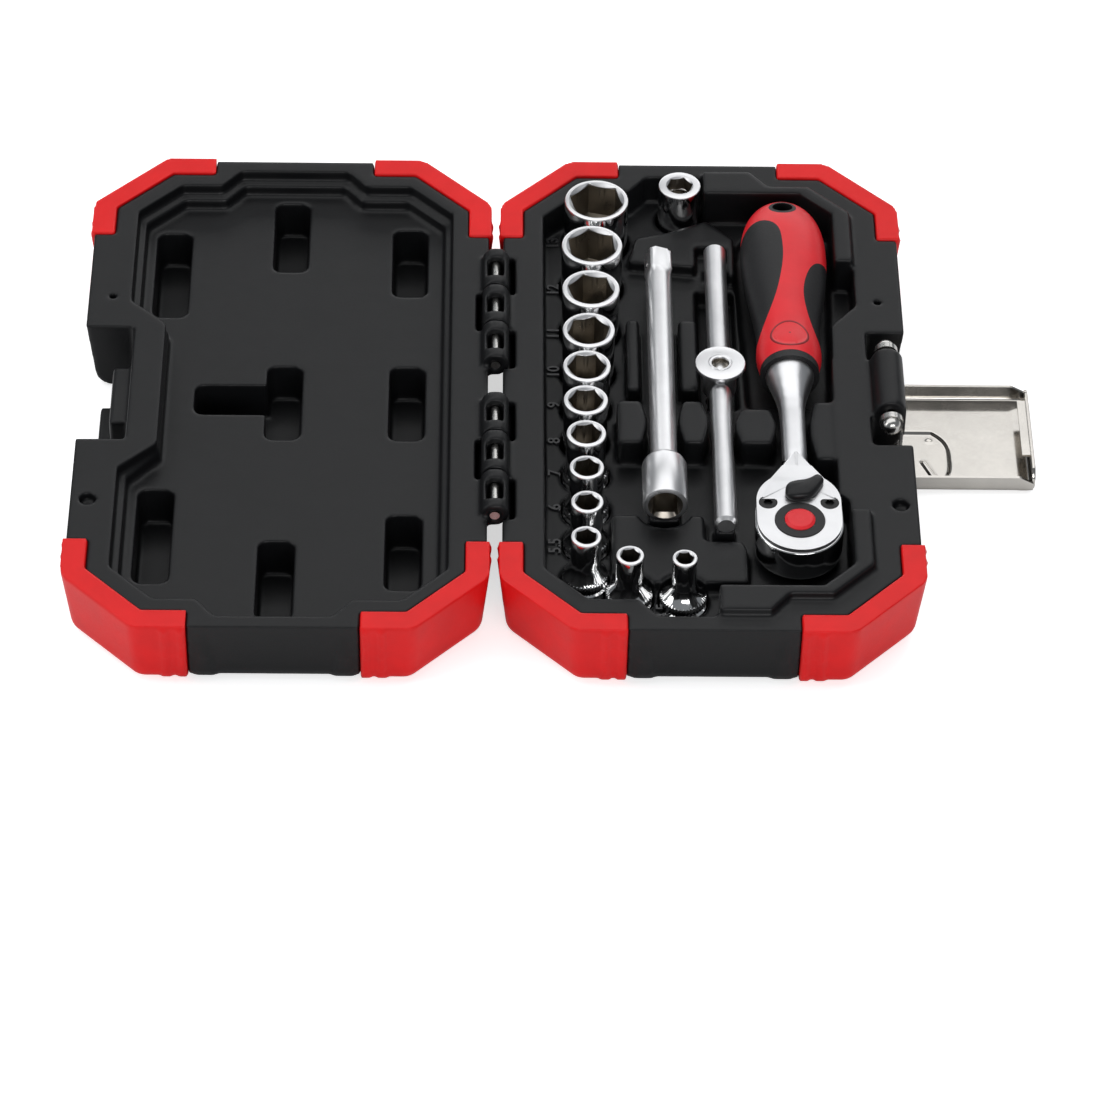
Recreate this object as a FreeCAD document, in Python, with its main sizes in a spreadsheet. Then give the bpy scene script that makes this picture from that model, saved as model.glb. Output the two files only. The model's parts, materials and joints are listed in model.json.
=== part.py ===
import FreeCAD, Part
import math
import os
import re
import Sketcher

# Hinged plastic case for a quarter inch drive socket set, drawn open and flat on a table.
# Millimetres, +Z up. The origin is the centre of the base's underside, +X points from the
# hinge to the latch and +Y to the back. The lid is drawn as a half of its own, with the same
# directions as the base, and is then mirrored across the hinge axis.

doc = FreeCAD.newDocument("SocketCase")
sheet = doc.addObject("Spreadsheet::Sheet", "Sizes")

sizes = {
    # case halves
    "halfHeight": 22.0,        # underside to the tops of the corner guards
    "halfWidth": 54.4,         # centre to the black side wall
    "halfLength": 92.5,        # centre to the black end wall
    "cornerCut": 18.8,         # legs of the cut corners
    "draft": 6.0,              # degrees, outer walls
    "edgeRound": 5.0,          # upright corners and the underside's edges
    "wall": 1.9,               # blow-moulded skin
    "rimDrop": 0.4,            # black rim below the guards' tops
    "closedGap": 0.3,          # between the guards of the closed case
    "hingeGap": 1.8,           # side wall to hinge axis
    # corner guards
    "guardThickness": 5.7,
    "guardCut": 14.9,
    "guardProud": 0.7,
    "guardSideEnd": 60.65,     # from the case's middle, along the side
    "guardFrontEnd": 22.1,     # from the case's middle, along the end
    "beadRadius": 1.25,
    "beadProud": 0.6,
    "beadInset": 1.3,          # guard's end to the first bead
    "beadPitch": 4.2,
    "wallBeadRadius": 2.6,     # upright bead on the black end walls
    "wallBeadFromGuard": 4.3,
    # hollow that the two halves share: the lid's edge, and the lip on the base inside it
    "hollowHinge": 44.2,
    "hollowLatch": 42.6,
    "hollowShoulder": 82.0,
    "hollowMiddle": 88.2,
    "hollowCut": 11.5,
    "middleHalf": 15.0,
    "middleSlope": 5.0,
    "bayEdge": 32.8,
    "bayHalf": 24.0,
    "baySlope": 9.3,
    "lipClearance": 1.1,
    "lipHeight": 2.5,
    "lipEnd": 49.3,
    "lipStart": 1.3,
    "lipInnerSide": 36.4,
    "lipInnerEnd": 77.8,
    "lipInnerCut": 8.2,
    "trayBay": 0.9,            # tray edge past the edge of the hollow, beside the latch
    "trayJog": 5.6,            # from the front end of the lip to the step in the tray edge
    "restEdge": 9.6,           # side of the raised levels next to the ratchet
    # lid
    "ledgeDepth": 4.0,
    "ledgeWidth": 2.2,
    "bayLedge": 0.6,
    "lidFloorDepth": 7.5,
    "kissDepth": 19.4,
    "kissWidth": 9.4,
    "kissSideX": 32.6,
    "kissSideNear": 34.4,
    "kissSideLength": 35.0,
    "kissMiddleLength": 29.0,
    "kissMiddleNear": 53.6,
    "kissHingeNear": 43.5,
    "kissHingeLength": 28.0,
    "stemWidth": 11.6,
    "stemLength": 19.5,
    "kissRound": 2.5,
    # base tray levels
    "shelfDepth": 9.5,
    "pocketFloor": 3.0,
    "padDrop": 0.3,
    "railDrop": 4.0,
    "plateauDrop": 5.6,
    # hinge
    "pinDiameter": 2.6,
    "pinClearance": 0.05,
    "knuckleRadius": 3.7,
    "knuckleLength": 14.6,
    "knuckleGap": 0.35,
    "knuckleStart": 7.0,
    "windowWidth": 4.4,
    "windowLength": 7.4,
    "slotWidth": 5.1,
    # latch
    "notchHalf": 22.2,
    "baseNotch": 43.7,
    "lidNotch": 41.3,
    "bossHalf": 11.0,
    "bossReach": 53.0,
    "bossUnder": 9.0,
    "barrelRadius": 4.4,
    "latchPinX": 48.8,
    "latchPinZ": 21.8,
    "latchPinDiameter": 3.0,
    "linkPinX": 49.4,
    "linkPinZ": 5.5,
    "linkPinDiameter": 2.2,
    "sheetThickness": 0.8,
    "earInner": 11.5,
    "earWidth": 4.7,
    "earLoop": 2.6,
    "haspHalf": 18.5,
    "haspLift": 0.8,           # plate above the table, the pressed dish reaches down to it
    "haspReach": 38.8,         # link pin to the outside of the end wall
    "haspStart": 3.0,
    "flangeHeight": 5.3,
    "endWallHeight": 6.6,
    "lipLength": 3.0,
    "lipHalf": 10.7,
    "dishRadius": 13.0,
    "dishHalf": 13.4,
    "catchReach": 46.5,
    "catchDrop": 5.0,
    "catchRidge": 50.3,
    "catchRidgeWidth": 1.2,
    "catchSlot": 2.4,
    "catchRidgeHalf": 8.0,
    "catchLow": 1.7,
    "catchHigh": 5.0,
    # sockets
    "socketHeight": 25.0,
    "socketEdge": -38.3,       # left side of the whole row
    "socketBack": 69.16,
    "gapWide": 2.0,
    "gapNarrow": 1.05,
    "collarDiameter": 12.0,
    "knurlDiameter": 11.2,
    "collarHeight": 12.0,
    "knurlGroove": 0.4,
    "knurlHeight": 2.6,
    "flareHeight": 3.4,
    "hexDepth": 10.5,
    "throughBore": 4.2,
    "driveSquare": 6.4,
    "driveDepth": 9.0,
    "mouthCone": 0.9,
    "hexClearance": 0.1,
    "pocketClearance": 0.6,
    "cornerShift": 1.0,
    "frontRow": -71.8,
    "frontFirst": -21.5,
    "frontPitch": 14.0,
    "cornerSocketShift": 0.9,
    # bit adapter
    "adapterX": -5.3,
    "adapterY": 79.5,
    "adapterDiameter": 11.7,
    "adapterHeight": 22.0,
    "bitHex": 6.35,
    "bitDepth": 9.0,
    "snapRingRadius": 3.9,
    "snapRingWire": 0.5,
    # extension bar
    "barX": -11.8,
    "barFront": -47.0,
    "barLength": 100.0,
    "barDiameter": 7.0,
    "barEndDiameter": 11.8,
    "barEndLength": 15.0,
    "barConeLength": 2.5,
    "maleSquare": 6.2,
    "maleLength": 7.5,
    "maleCone": 3.0,
    "ballRadius": 1.2,
    "ballProud": 0.35,
    # sliding T-handle
    "rodX": 3.9,
    "rodDrop": 2.0,
    "rodDiameter": 6.0,
    "rodLength": 110.0,
    "rodMiddle": 2.5,
    "waistDiameter": 3.0,
    "waistShoulder": 4.6,
    "waistLength": 7.2,
    "rodChamfer": 0.8,
    "sliderY": 5.7,
    "discDiameter": 13.4,
    "discThickness": 1.3,
    "discTop": 3.0,
    "sliderDiameter": 9.0,
    "sliderBelow": 5.0,
    "sliderBore": 4.3,
    "sliderTravel": 38.0,
    "troughClearance": 0.6,
    # ratchet
    "ratchetX": 22.7,
    "ratchetDrop": 1.5,
    "headRadius": 11.3,
    "headY": -55.8,
    "headStretch": 7.3,
    "headThickness": 10.0,
    "coverThickness": 2.0,
    "neckWidth": 7.6,
    "neckThickness": 7.6,
    "neckStart": -31.0,
    "ferruleRadius": 6.6,
    "ferruleY": 5.5,
    "ferruleCone": 10.0,
    "gearRadius": 7.6,
    "gearTeeth": 36,
    "gearTooth": 0.7,
    "gearHeight": 5.0,
    "gearClearance": 0.15,
    "ringDiameter": 12.9,
    "ringThickness": 1.6,
    "buttonDiameter": 7.9,
    "buttonProud": 0.9,
    "buttonTravel": 1.2,
    "driveLength": 7.6,
    "screwX": 8.0,
    "screwY": -49.1,
    "screwDiameter": 4.8,
    "screwShank": 2.5,
    "screwLength": 5.6,
    "torxSize": 2.2,
    "leverY": -44.4,
    "leverLength": 9.0,
    "leverHub": 2.9,
    "leverTip": 1.9,
    "leverHeight": 2.2,
    "leverAngle": 40.0,
    "leverShaft": 1.5,
    "pawlWidth": 6.0,
    # grip
    "gripFront": 7.5,
    "gripBack": 75.0,
    "gripFrontHalf": 7.9,
    "gripWaistHalf": 8.6,
    "gripMiddleHalf": 9.8,
    "gripWideHalf": 11.8,
    "gripShoulderHalf": 10.9,
    "gripFlatness": 0.76,
    "inlayDepth": 1.3,
    "collarLength": 2.5,
    "collarRadius": 7.9,
    "tangRadius": 4.0,
    "tangLength": 30.0,
    "hangY": 67.5,
    "hangOuter": 3.8,
    "hangInner": 2.8,
    "restGap": 0.3,            # under each piece that lies in the tray
    "sideGap": 1.2,            # round the ratchet in its pocket
    # blow needle holes in the rims
    "needleLarge": 4.2,
    "needleLargeX": 49.7,
    "needleLargeY": -45.4,
    "needleSmall": 2.0,
    "needleSmallX": 47.7,
    "needleSmallY": 34.8,
}

# socket name: size across flats, outside diameter of the hex end, turn of the hexagon
sockets = {
    "13": (13.0, 17.5, 46.0),
    "12": (12.0, 16.6, 37.0),
    "11": (11.0, 15.6, 48.0),
    "10": (10.0, 14.1, 14.0),
    "9": (9.0, 12.8, 2.0),
    "8": (8.0, 11.8, 0.0),
    "7": (7.0, 10.5, 8.0),
    "6": (6.0, 9.1, 20.0),
    "5_5": (5.5, 8.5, 10.0),
    "5": (5.0, 7.9, 25.0),
    "4_5": (4.5, 7.2, 12.0),
    "4": (4.0, 6.5, 5.0),
}
for name, (flats, rim, turn) in sockets.items():
    sizes["flats" + name] = flats
    sizes["rim" + name] = rim
    sizes["turn" + name] = turn

for row, (name, number) in enumerate(sizes.items(), start=1):
    sheet.set(f"A{row}", name)
    sheet.set(f"B{row}", str(number))
    sheet.setAlias(f"B{row}", name)
doc.recompute()

Vector = FreeCAD.Vector
xAxis = Vector(1, 0, 0)
yAxis = Vector(0, 1, 0)
zAxis = Vector(0, 0, 1)


def full(text):
    """the expression with each size's name pointed at the sheet"""
    return re.sub(r"(?<![\w.])[A-Za-z_]\w*(?![\w.(])",
                  lambda word: "Sizes." + word.group() if word.group() in sizes else word.group(),
                  str(text))


def size(text):
    """the number that an expression of the sheet's sizes gives"""
    found = sheet.evalExpression(full(text))
    return float(getattr(found, "Value", found))


def bind(item, path, text):
    item.setExpression(path, full(text))


def place(item, x="0", y="0", z="0", turn=None, about=zAxis):
    if turn is not None:
        item.Placement = FreeCAD.Placement(Vector(), FreeCAD.Rotation(about, size(turn)))
        bind(item, "Placement.Rotation.Angle", turn)
    bind(item, "Placement.Base.x", x)
    bind(item, "Placement.Base.y", y)
    bind(item, "Placement.Base.z", z)
    return item


# ---------------------------------------------------------------- Part primitives

def cylinder(name, radius, height, x="0", y="0", z="0", along=zAxis):
    item = doc.addObject("Part::Cylinder", name)
    bind(item, "Radius", radius)
    bind(item, "Height", height)
    item.Placement = FreeCAD.Placement(Vector(), FreeCAD.Rotation(zAxis, along))
    return place(item, x, y, z)


def block(name, x, y, z, length, width, height):
    item = doc.addObject("Part::Box", name)
    bind(item, "Length", length)
    bind(item, "Width", width)
    bind(item, "Height", height)
    return place(item, x, y, z)


def ball(name, radius, x, y, z):
    item = doc.addObject("Part::Sphere", name)
    bind(item, "Radius", radius)
    return place(item, x, y, z)


def joined(name, items):
    item = doc.addObject("Part::MultiFuse", name)
    item.Shapes = items
    item.Refine = True
    return item


def cut(name, body, tool):
    item = doc.addObject("Part::Cut", name)
    item.Base = body
    item.Tool = tool
    return item


# ---------------------------------------------------------------- PartDesign helpers

def newBody(name):
    body = doc.addObject("PartDesign::Body", name)
    body.Label = name
    return body


def newSketch(body, name, role="XY_Plane", height="0"):
    sketch = body.newObject("Sketcher::SketchObject", body.Name + "_" + name)
    plane = next(item for item in body.Origin.OriginFeatures if item.Role == role)
    sketch.AttachmentSupport = [(plane, "")]
    sketch.MapMode = "FlatFace"
    bind(sketch, "AttachmentOffset.Base.z", height)
    return sketch


def hold(sketch, kind, curve, end, text):
    """hold a point of a curve at its distance from the sketch's axis"""
    number = size(text)
    if str(text) == "0":
        sketch.addConstraint(Sketcher.Constraint("PointOnObject", curve, end,
                                                 -2 if kind == "DistanceX" else -1))
        return
    index = sketch.addConstraint(Sketcher.Constraint(kind, -1, 1, curve, end, number))
    bind(sketch, f"Constraints[{index}]", text)


def outline(sketch, corners):
    """a closed outline of straight edges through the corners"""
    first = sketch.GeometryCount
    points = [Vector(size(x), size(y), 0) for x, y in corners]
    count = len(points)
    edges = [Part.LineSegment(points[i], points[(i + 1) % count]) for i in range(count)]
    sketch.addGeometry(edges, False)
    for i, (x, y) in enumerate(corners):
        sketch.addConstraint(Sketcher.Constraint("Coincident", first + i, 2, first + (i + 1) % count, 1))
    for i, (x, y) in enumerate(corners):
        hold(sketch, "DistanceX", first + i, 1, x)
        hold(sketch, "DistanceY", first + i, 1, y)


def circle(sketch, radius, x="0", y="0"):
    curve = sketch.addGeometry(Part.Circle(Vector(size(x), size(y), 0), zAxis, size(radius)), False)
    hold(sketch, "DistanceX", curve, 3, x)
    hold(sketch, "DistanceY", curve, 3, y)
    index = sketch.addConstraint(Sketcher.Constraint("Radius", curve, size(radius)))
    bind(sketch, f"Constraints[{index}]", radius)


def square(sketch, side, x="0", y="0"):
    low = f"-({side}) / 2"
    high = f"({side}) / 2"
    outline(sketch, [(f"{x} + {low}", f"{y} + {low}"), (f"{x} + {high}", f"{y} + {low}"),
                     (f"{x} + {high}", f"{y} + {high}"), (f"{x} + {low}", f"{y} + {high}")])


def hexagon(sketch, flats, turn="0"):
    corners = []
    for step in range(6):
        angle = f"({turn} + {60 * step}) * 1deg"
        corners.append((f"({flats}) / sqrt(3) * cos({angle})", f"({flats}) / sqrt(3) * sin({angle})"))
    outline(sketch, corners)


def pad(body, sketch, length, reverse=False):
    feature = body.newObject("PartDesign::Pad", sketch.Name + "_pad")
    feature.Profile = sketch
    feature.Reversed = reverse
    bind(feature, "Length", length)
    return feature


def pocket(body, sketch, length, upward=False):
    """a pocket that goes down from its sketch, or up when upward is set"""
    feature = body.newObject("PartDesign::Pocket", sketch.Name + "_pocket")
    feature.Profile = sketch
    feature.Reversed = upward
    bind(feature, "Length", length)
    return feature


def revolve(body, sketch, cutting=False):
    kind = "PartDesign::Groove" if cutting else "PartDesign::Revolution"
    feature = body.newObject(kind, sketch.Name + "_turned")
    feature.Profile = sketch
    feature.ReferenceAxis = (sketch, ["V_Axis"])
    feature.Angle = 360
    return feature


# ---------------------------------------------------------------- shapes worked out from the sheet

parts = {}


def keep(name, item):
    """name a finished sub-part"""
    item.Label = name
    parts[name] = item
    return item


def feature(name, shape):
    item = doc.addObject("Part::Feature", name)
    item.Shape = shape
    return keep(name, item)


def prism(corners, low, high):
    wire = Part.makePolygon([Vector(x, y, low) for x, y in corners + corners[:1]])
    return Part.Face(wire).extrude(Vector(0, 0, high - low))


def box(x0, x1, y0, y1, z0, z1):
    return Part.makeBox(x1 - x0, y1 - y0, z1 - z0, Vector(x0, y0, z0))


def roundBox(x0, x1, y0, y1, z0, z1, radius):
    solid = box(x0, x1, y0, y1, z0, z1)
    upright = [edge for edge in solid.Edges if abs(edge.tangentAt(edge.FirstParameter).z) > 0.99]
    return solid.makeFillet(radius, upright)


def grown(corners, distance):
    """the outline, anticlockwise, with each side moved outwards"""
    count = len(corners)
    moved = []
    for i in range(count):
        (x0, y0), (x1, y1) = corners[i - 1], corners[i]
        x2, y2 = corners[(i + 1) % count]
        before = math.hypot(x1 - x0, y1 - y0)
        after = math.hypot(x2 - x1, y2 - y1)
        n0 = ((y1 - y0) / before, (x0 - x1) / before)
        n1 = ((y2 - y1) / after, (x1 - x2) / after)
        share = distance / (1 + n0[0] * n1[0] + n0[1] * n1[1])
        moved.append((x1 + (n0[0] + n1[0]) * share, y1 + (n0[1] + n1[1]) * share))
    return moved


def mirroredEnds(upper):
    """the half outline, given from the hinge side to the latch side, with its twin in front"""
    return [(x, -y) for x, y in upper] + upper[::-1]


# ---------------------------------------------------------------- case halves

height = size("halfHeight")
rim = height - size("rimDrop")
wall = size("wall")
draft = math.tan(math.radians(size("draft")))
hingeX = -(size("halfWidth") + size("hingeGap"))
hingeZ = height + size("closedGap") / 2
shelf = height - size("shelfDepth")
floor = size("pocketFloor")
far = 2 * size("halfLength")


def envelope(proud=0.0, low=0.0, high=height):
    """a case half without its hollow: a drafted block with cut and rounded corners"""
    def octagon(step):
        a = size("halfWidth") + step
        b = size("halfLength") + step
        c = size("cornerCut") + step * (2 - math.sqrt(2))
        upper = [(-a, b - c), (-a + c, b), (a - c, b), (a, b - c)]
        return mirroredEnds(upper)

    def ring(z):
        step = proud - (height - z) * draft
        corners = octagon(step)
        return Part.makePolygon([Vector(x, y, z) for x, y in corners + corners[:1]])

    solid = Part.makeLoft([ring(low), ring(high)], True, True)
    outer = [edge for edge in solid.Edges
             if abs(edge.tangentAt(edge.FirstParameter).z) > 0.5 or edge.BoundBox.ZMax < low + 1e-3]
    return solid.makeFillet(size("edgeRound"), outer)


def coreCorners():
    """plan of the black shell, with a seat for a guard at each corner"""
    x = size("halfWidth - guardThickness")
    y = size("halfLength - guardThickness")
    cutLeg = size("guardCut")
    side = size("guardSideEnd")
    front = size("guardFrontEnd")
    upper = [(-far, side), (-x, side), (-x, y - cutLeg), (-x + cutLeg, y), (-front, y), (-front, far),
             (front, far), (front, y), (x - cutLeg, y), (x, y - cutLeg), (x, side), (far, side)]
    return mirroredEnds(upper)


def hollowCorners(inset=0.0, bayInset=None):
    """plan of the lid's hollow, which the base's lip follows with a clearance"""
    bay = size("bayEdge") - (inset if bayInset is None else bayInset)
    hinge = size("hollowHinge") - inset
    latch = size("hollowLatch") - inset
    shoulder = size("hollowShoulder") - inset
    middle = size("hollowMiddle") - inset
    leg = size("hollowCut") - inset * (2 - math.sqrt(2))
    half = size("middleHalf") - inset / 2
    slope = size("middleSlope")
    upper = [(-hinge, shoulder - leg), (-hinge + leg, shoulder), (-half - slope, shoulder), (-half, middle),
             (half, middle), (half + slope, shoulder), (latch - leg, shoulder), (latch, shoulder - leg),
             (latch, size("bayHalf + baySlope")), (bay, size("bayHalf"))]
    return mirroredEnds(upper)


def trayCorners():
    """plan of the base's tray opening, inside the lip on the latch side"""
    edge = hollowCorners(size("lipClearance"), -size("trayBay"))
    upper = edge[len(edge) // 2:][::-1]
    start = size("lipStart")
    side = size("lipInnerSide")
    end = size("lipInnerEnd")
    leg = size("lipInnerCut")
    lipEnd = size("lipEnd")
    latch = upper[8][0]
    bay = size("bayEdge + trayBay")
    jog = lipEnd - size("trayJog")
    inner = [(start, upper[3][1]), (start, end), (side - leg, end), (side, end - leg)]
    rear = upper[:4] + inner + [(side, lipEnd), (latch, lipEnd)] + upper[8:]
    front = upper[:4] + inner + [(side, jog), (bay, jog - side + bay)]
    return [(x, -y) for x, y in front] + rear[::-1]


def softened(solid, radius, top=0.0):
    """the solid with its upright edges rounded, and then its top edges"""
    upright = [edge for edge in solid.Edges if abs(edge.tangentAt(edge.FirstParameter).z) > 0.99]
    solid = solid.makeFillet(radius, upright)
    if top:
        high = solid.BoundBox.ZMax
        above = [edge for edge in solid.Edges if all(abs(v.Z - high) < 1e-6 for v in edge.Vertexes)]
        solid = solid.makeFillet(top, above)
    return solid


def fused(solids):
    return solids[0].multiFuse(solids[1:]).removeSplitter() if len(solids) > 1 else solids[0]


def airSpace(keepOut, notchX):
    """the hollow between the two skins, as far as the blow needles reach"""
    inside = envelope(-wall, wall, rim - wall)
    inside = inside.common(prism(grown(coreCorners(), -wall), 0, height))
    notch = box(notchX - wall, far, -size("notchHalf") - wall, size("notchHalf") + wall, -1, height + 1)
    return max(inside.cut(keepOut + [notch]).Solids, key=lambda solid: solid.Volume)


def needleHoles():
    large = Part.makeCylinder(size("needleLarge / 2"), height / 2,
                              Vector(size("needleLargeX"), size("needleLargeY"), height - wall - 2))
    small = Part.makeCylinder(size("needleSmall / 2"), height / 2,
                              Vector(size("needleSmallX"), size("needleSmallY"), height - wall - 2))
    return [large, small]


def knuckleSpans():
    """the three knuckles of each hinge, as (start, end) along Y, from the case's middle outwards"""
    length = size("knuckleLength")
    step = length + size("knuckleGap")
    spans = [(size("knuckleStart") + step * i, size("knuckleStart") + step * i + length) for i in range(3)]
    return [spans, [(-end, -start) for start, end in spans]]


def knuckle(start, end):
    radius = size("knuckleRadius")
    barrel = Part.makeCylinder(radius, end - start, Vector(hingeX, start, hingeZ), yAxis)
    web = box(hingeX, -size("halfWidth") + 1.0, start, end, hingeZ - radius, rim)
    middle = (start + end) / 2
    window = box(hingeX - size("windowWidth / 2"), hingeX + size("windowWidth / 2"),
                 middle - size("windowLength / 2"), middle + size("windowLength / 2"),
                 hingeZ - radius * 0.6, hingeZ + 2 * radius)
    return barrel.fuse(web).cut(window)


def hingeSlot(start, end):
    """room in the rim for a knuckle of the other half"""
    gap = size("knuckleGap")
    radius = size("knuckleRadius")
    return box(hingeX - radius, hingeX + size("slotWidth"), start - gap, end + gap,
               hingeZ - radius - 2 * gap, hingeZ + 2 * radius)


def withHinge(solid, mine):
    """add the knuckles whose number is in mine, and slots for the others"""
    for spans in knuckleSpans():
        own = [knuckle(*spans[i]) for i in range(3) if i in mine]
        slots = [hingeSlot(*spans[i]) for i in range(3) if i not in mine]
        hole = Part.makeCylinder(size("pinDiameter / 2 + pinClearance"), far,
                                 Vector(hingeX, -far / 2, hingeZ), yAxis)
        solid = solid.cut(slots).fuse(own).cut(hole)
    return solid


def blackShell(recess, keepOut, notchX):
    """a blow-moulded half: outside, less the guards' seats, the hollow, the air space and the latch notch"""
    solid = envelope().cut(box(-far, far, -far, far, rim, far))
    beadX = size("guardFrontEnd - wallBeadFromGuard")
    radius = size("wallBeadRadius")
    limit = envelope(size("guardProud"))
    for x in (-beadX, beadX):
        for side in (-1, 1):
            bead = Part.makeCylinder(radius, rim, Vector(x, side * (size("halfLength") - 0.4 - radius), 0))
            solid = solid.fuse(bead.common(limit))
    solid = solid.common(prism(coreCorners(), -1, far))
    solid = solid.cut(recess)
    solid = solid.cut([airSpace(keepOut, notchX)] + needleHoles())
    return solid.cut(box(notchX, far, -size("notchHalf"), size("notchHalf"), -1, far))


# ---- base

barRadius = size("barDiameter / 2")
barEnd = size("barEndDiameter / 2")
rodRadius = size("rodDiameter / 2")
rodZ = height - size("rodDrop")
ratchetZ = height - size("ratchetDrop")
restGap = size("restGap")
pocketGap = size("pocketClearance")
padGap = 0.6
padTop = height - size("padDrop") - size("rimDrop")
railTop = height - size("railDrop")
plateau = height - size("plateauDrop")


def gripPad(left, right, back, front, leftNub=True, rightNub=True):
    """a raised pad that grips a tool at its side with a rounded nub"""
    setBack = 1.4
    low = front + (back - front) * 0.38
    high = front + (back - front) * 0.62
    corners = [(left + (setBack if leftNub else 0), back)]
    corners += [(left, high), (left, low)] if leftNub else []
    corners += [(left + (setBack if leftNub else 0), front), (right - (setBack if rightNub else 0), front)]
    corners += [(right, low), (right, high)] if rightNub else []
    corners += [(right - (setBack if rightNub else 0), back)]
    return softened(prism(corners, floor, padTop), 1.3, 0.9)


def baseIslands():
    barX = size("barX")
    rodX = size("rodX")
    ratchetX = size("ratchetX")
    neck = size("neckWidth / 2")
    trough = size("sliderDiameter / 2 + troughClearance")
    padBack = -5.2
    padFront = -21.6
    barLeft = barX - barRadius - padGap
    barRight = barX + barRadius + padGap
    rodLeft = rodX - rodRadius - padGap
    rodRight = rodX + rodRadius + padGap
    solids = [
        gripPad(barLeft - 8, barLeft, padBack, padFront, leftNub=False),
        gripPad(barRight, rodLeft, padBack, padFront),
        gripPad(rodRight, ratchetX - neck - padGap, padBack - 2.9, padFront),
        gripPad(ratchetX + neck + padGap, size("bayEdge") + 4, padBack, padFront - 6, rightNub=False),
    ]
    railStart = 2.6
    railEnd = 31.0
    for left, right in ((barLeft - 5, barLeft - 1.2), (barRight + 1.0, rodX - trough - 0.4)):
        solids.append(softened(box(left, right, railStart, railEnd, floor, railTop), 1.2, 0.9))
    barBack = size("barFront + barLength")
    rodBack = size("rodMiddle + rodLength / 2")
    slotLeft = rodX - 5.0
    slotRight = rodX + 3.5
    slotEnd = rodBack + 6.0
    restSide = size("restEdge")
    restFront = barBack - 1.6
    backLevel = [(barX - 8.2, barBack + 4.0), (slotLeft, barBack + 2.0), (slotLeft, slotEnd),
                 (slotRight, slotEnd), (slotRight, restFront), (restSide, restFront),
                 (restSide, barBack + 14.3), (rodX - 1.6, barBack + 22), (barX + 2.9, barBack + 16.8),
                 (barX - 5.8, barBack + 14.4)]
    solids.append(softened(prism(backLevel, floor, plateau), 1.0, 0.8))
    frontEnd = size("barFront")
    rodFront = size("rodMiddle - rodLength / 2")
    step = rodX - rodRadius - 2.2
    frontSide = -69.5
    frontLevel = [(barX - 14, frontEnd + 2.8), (barX - 14, frontSide), (restSide, frontSide),
                  (restSide, frontSide + 12), (restSide - 1.1, rodFront - 1.3), (step, rodFront - 1.3),
                  (step, frontEnd + 2.8)]
    level = softened(prism(frontLevel, floor, plateau), 1.5, 1.0)
    endRoom = Part.makeCylinder(barEnd + 1.5, height, Vector(barX, frontEnd + barEnd - 0.5, shelf))
    solids.append(level.cut(endRoom))
    barFloor = height - barEnd - restGap
    solids.append(box(barX - 4, barX + 4, frontEnd + 1, frontEnd + 12, floor, barFloor))
    rodFloor = rodZ - rodRadius - restGap
    solids.append(box(rodX - 2.6, rodX + 2.6, rodFront + 1, rodFront + 5, floor, rodFloor))
    solids.append(box(rodX - 2.6, rodX + 2.6, rodBack - 5, rodBack - 1, floor, rodFloor))
    return solids


def socketPlaces():
    """each socket's name with its centre and the radius of its widest part"""
    collar = size("collarDiameter / 2")
    places = []
    x = y = before = None
    for name in ("13", "12", "11", "10", "9", "8", "7", "6", "5_5", "5"):
        radius = max(size("rim" + name) / 2, collar)
        if before is None:
            y = size("socketBack")
        else:
            gap = size("gapWide") if name in ("12", "11", "10") else size("gapNarrow")
            y -= before + radius + gap
        x = size("socketEdge") + radius + (size("cornerShift") if before is None else 0)
        places.append((name, x, y, radius))
        before = radius
    places[-1] = ("5", x - 0.4, y, before)
    for i, name in enumerate(("4_5", "4")):
        places.append((name, size("frontFirst") + i * size("frontPitch"),
                       size("frontRow") - i * size("cornerSocketShift"), collar))
    return places


def basePockets(grow=0.0):
    """the pockets that go below the tray's shelf"""
    deep = height + 5
    solids = []
    for name, x, y, radius in socketPlaces():
        solids.append(Part.makeCylinder(radius + pocketGap + grow, deep, Vector(x, y, floor - grow)))
    adapter = size("adapterDiameter / 2") + pocketGap + grow
    solids.append(Part.makeCylinder(adapter, deep, Vector(size("adapterX"), size("adapterY"), floor - grow)))
    trough = size("sliderDiameter / 2 + troughClearance") + grow
    rodX = size("rodX")
    troughFloor = rodZ - size("sliderBelow + maleLength") - restGap - grow
    sliderY = size("sliderY")
    solids.append(box(rodX - trough, rodX + trough, sliderY - trough, sliderY + size("sliderTravel") + trough,
                      troughFloor, deep))
    side = size("sideGap") + grow
    ratchetX = size("ratchetX")
    headY = size("headY")
    for y in (headY, headY + size("headStretch")):
        solids.append(Part.makeCylinder(size("headRadius") + side, deep, Vector(ratchetX, y, shelf - grow)))
    driveRoom = size("maleSquare") / math.sqrt(2) + side
    driveFloor = ratchetZ - size("headThickness / 2 + driveLength") - restGap - grow
    solids.append(Part.makeCylinder(driveRoom, deep, Vector(ratchetX, headY, driveFloor)))
    gripFloor = ratchetZ - size("gripWideHalf * gripFlatness") - restGap - grow
    wide = size("gripWideHalf") + side
    backY = size("gripBack") - size("gripWideHalf")
    solids.append(Part.makeCylinder(wide - 0.3, deep, Vector(ratchetX, backY, gripFloor)))
    front = size("gripFront")
    narrow = size("gripMiddleHalf") + side
    taper = [(ratchetX - narrow, front - 6), (ratchetX + narrow, front - 6), (ratchetX + wide, backY - 12),
             (ratchetX + wide, backY), (ratchetX - wide, backY), (ratchetX - wide, backY - 12)]
    solids.append(prism(taper, gripFloor, deep))
    return solids


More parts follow.
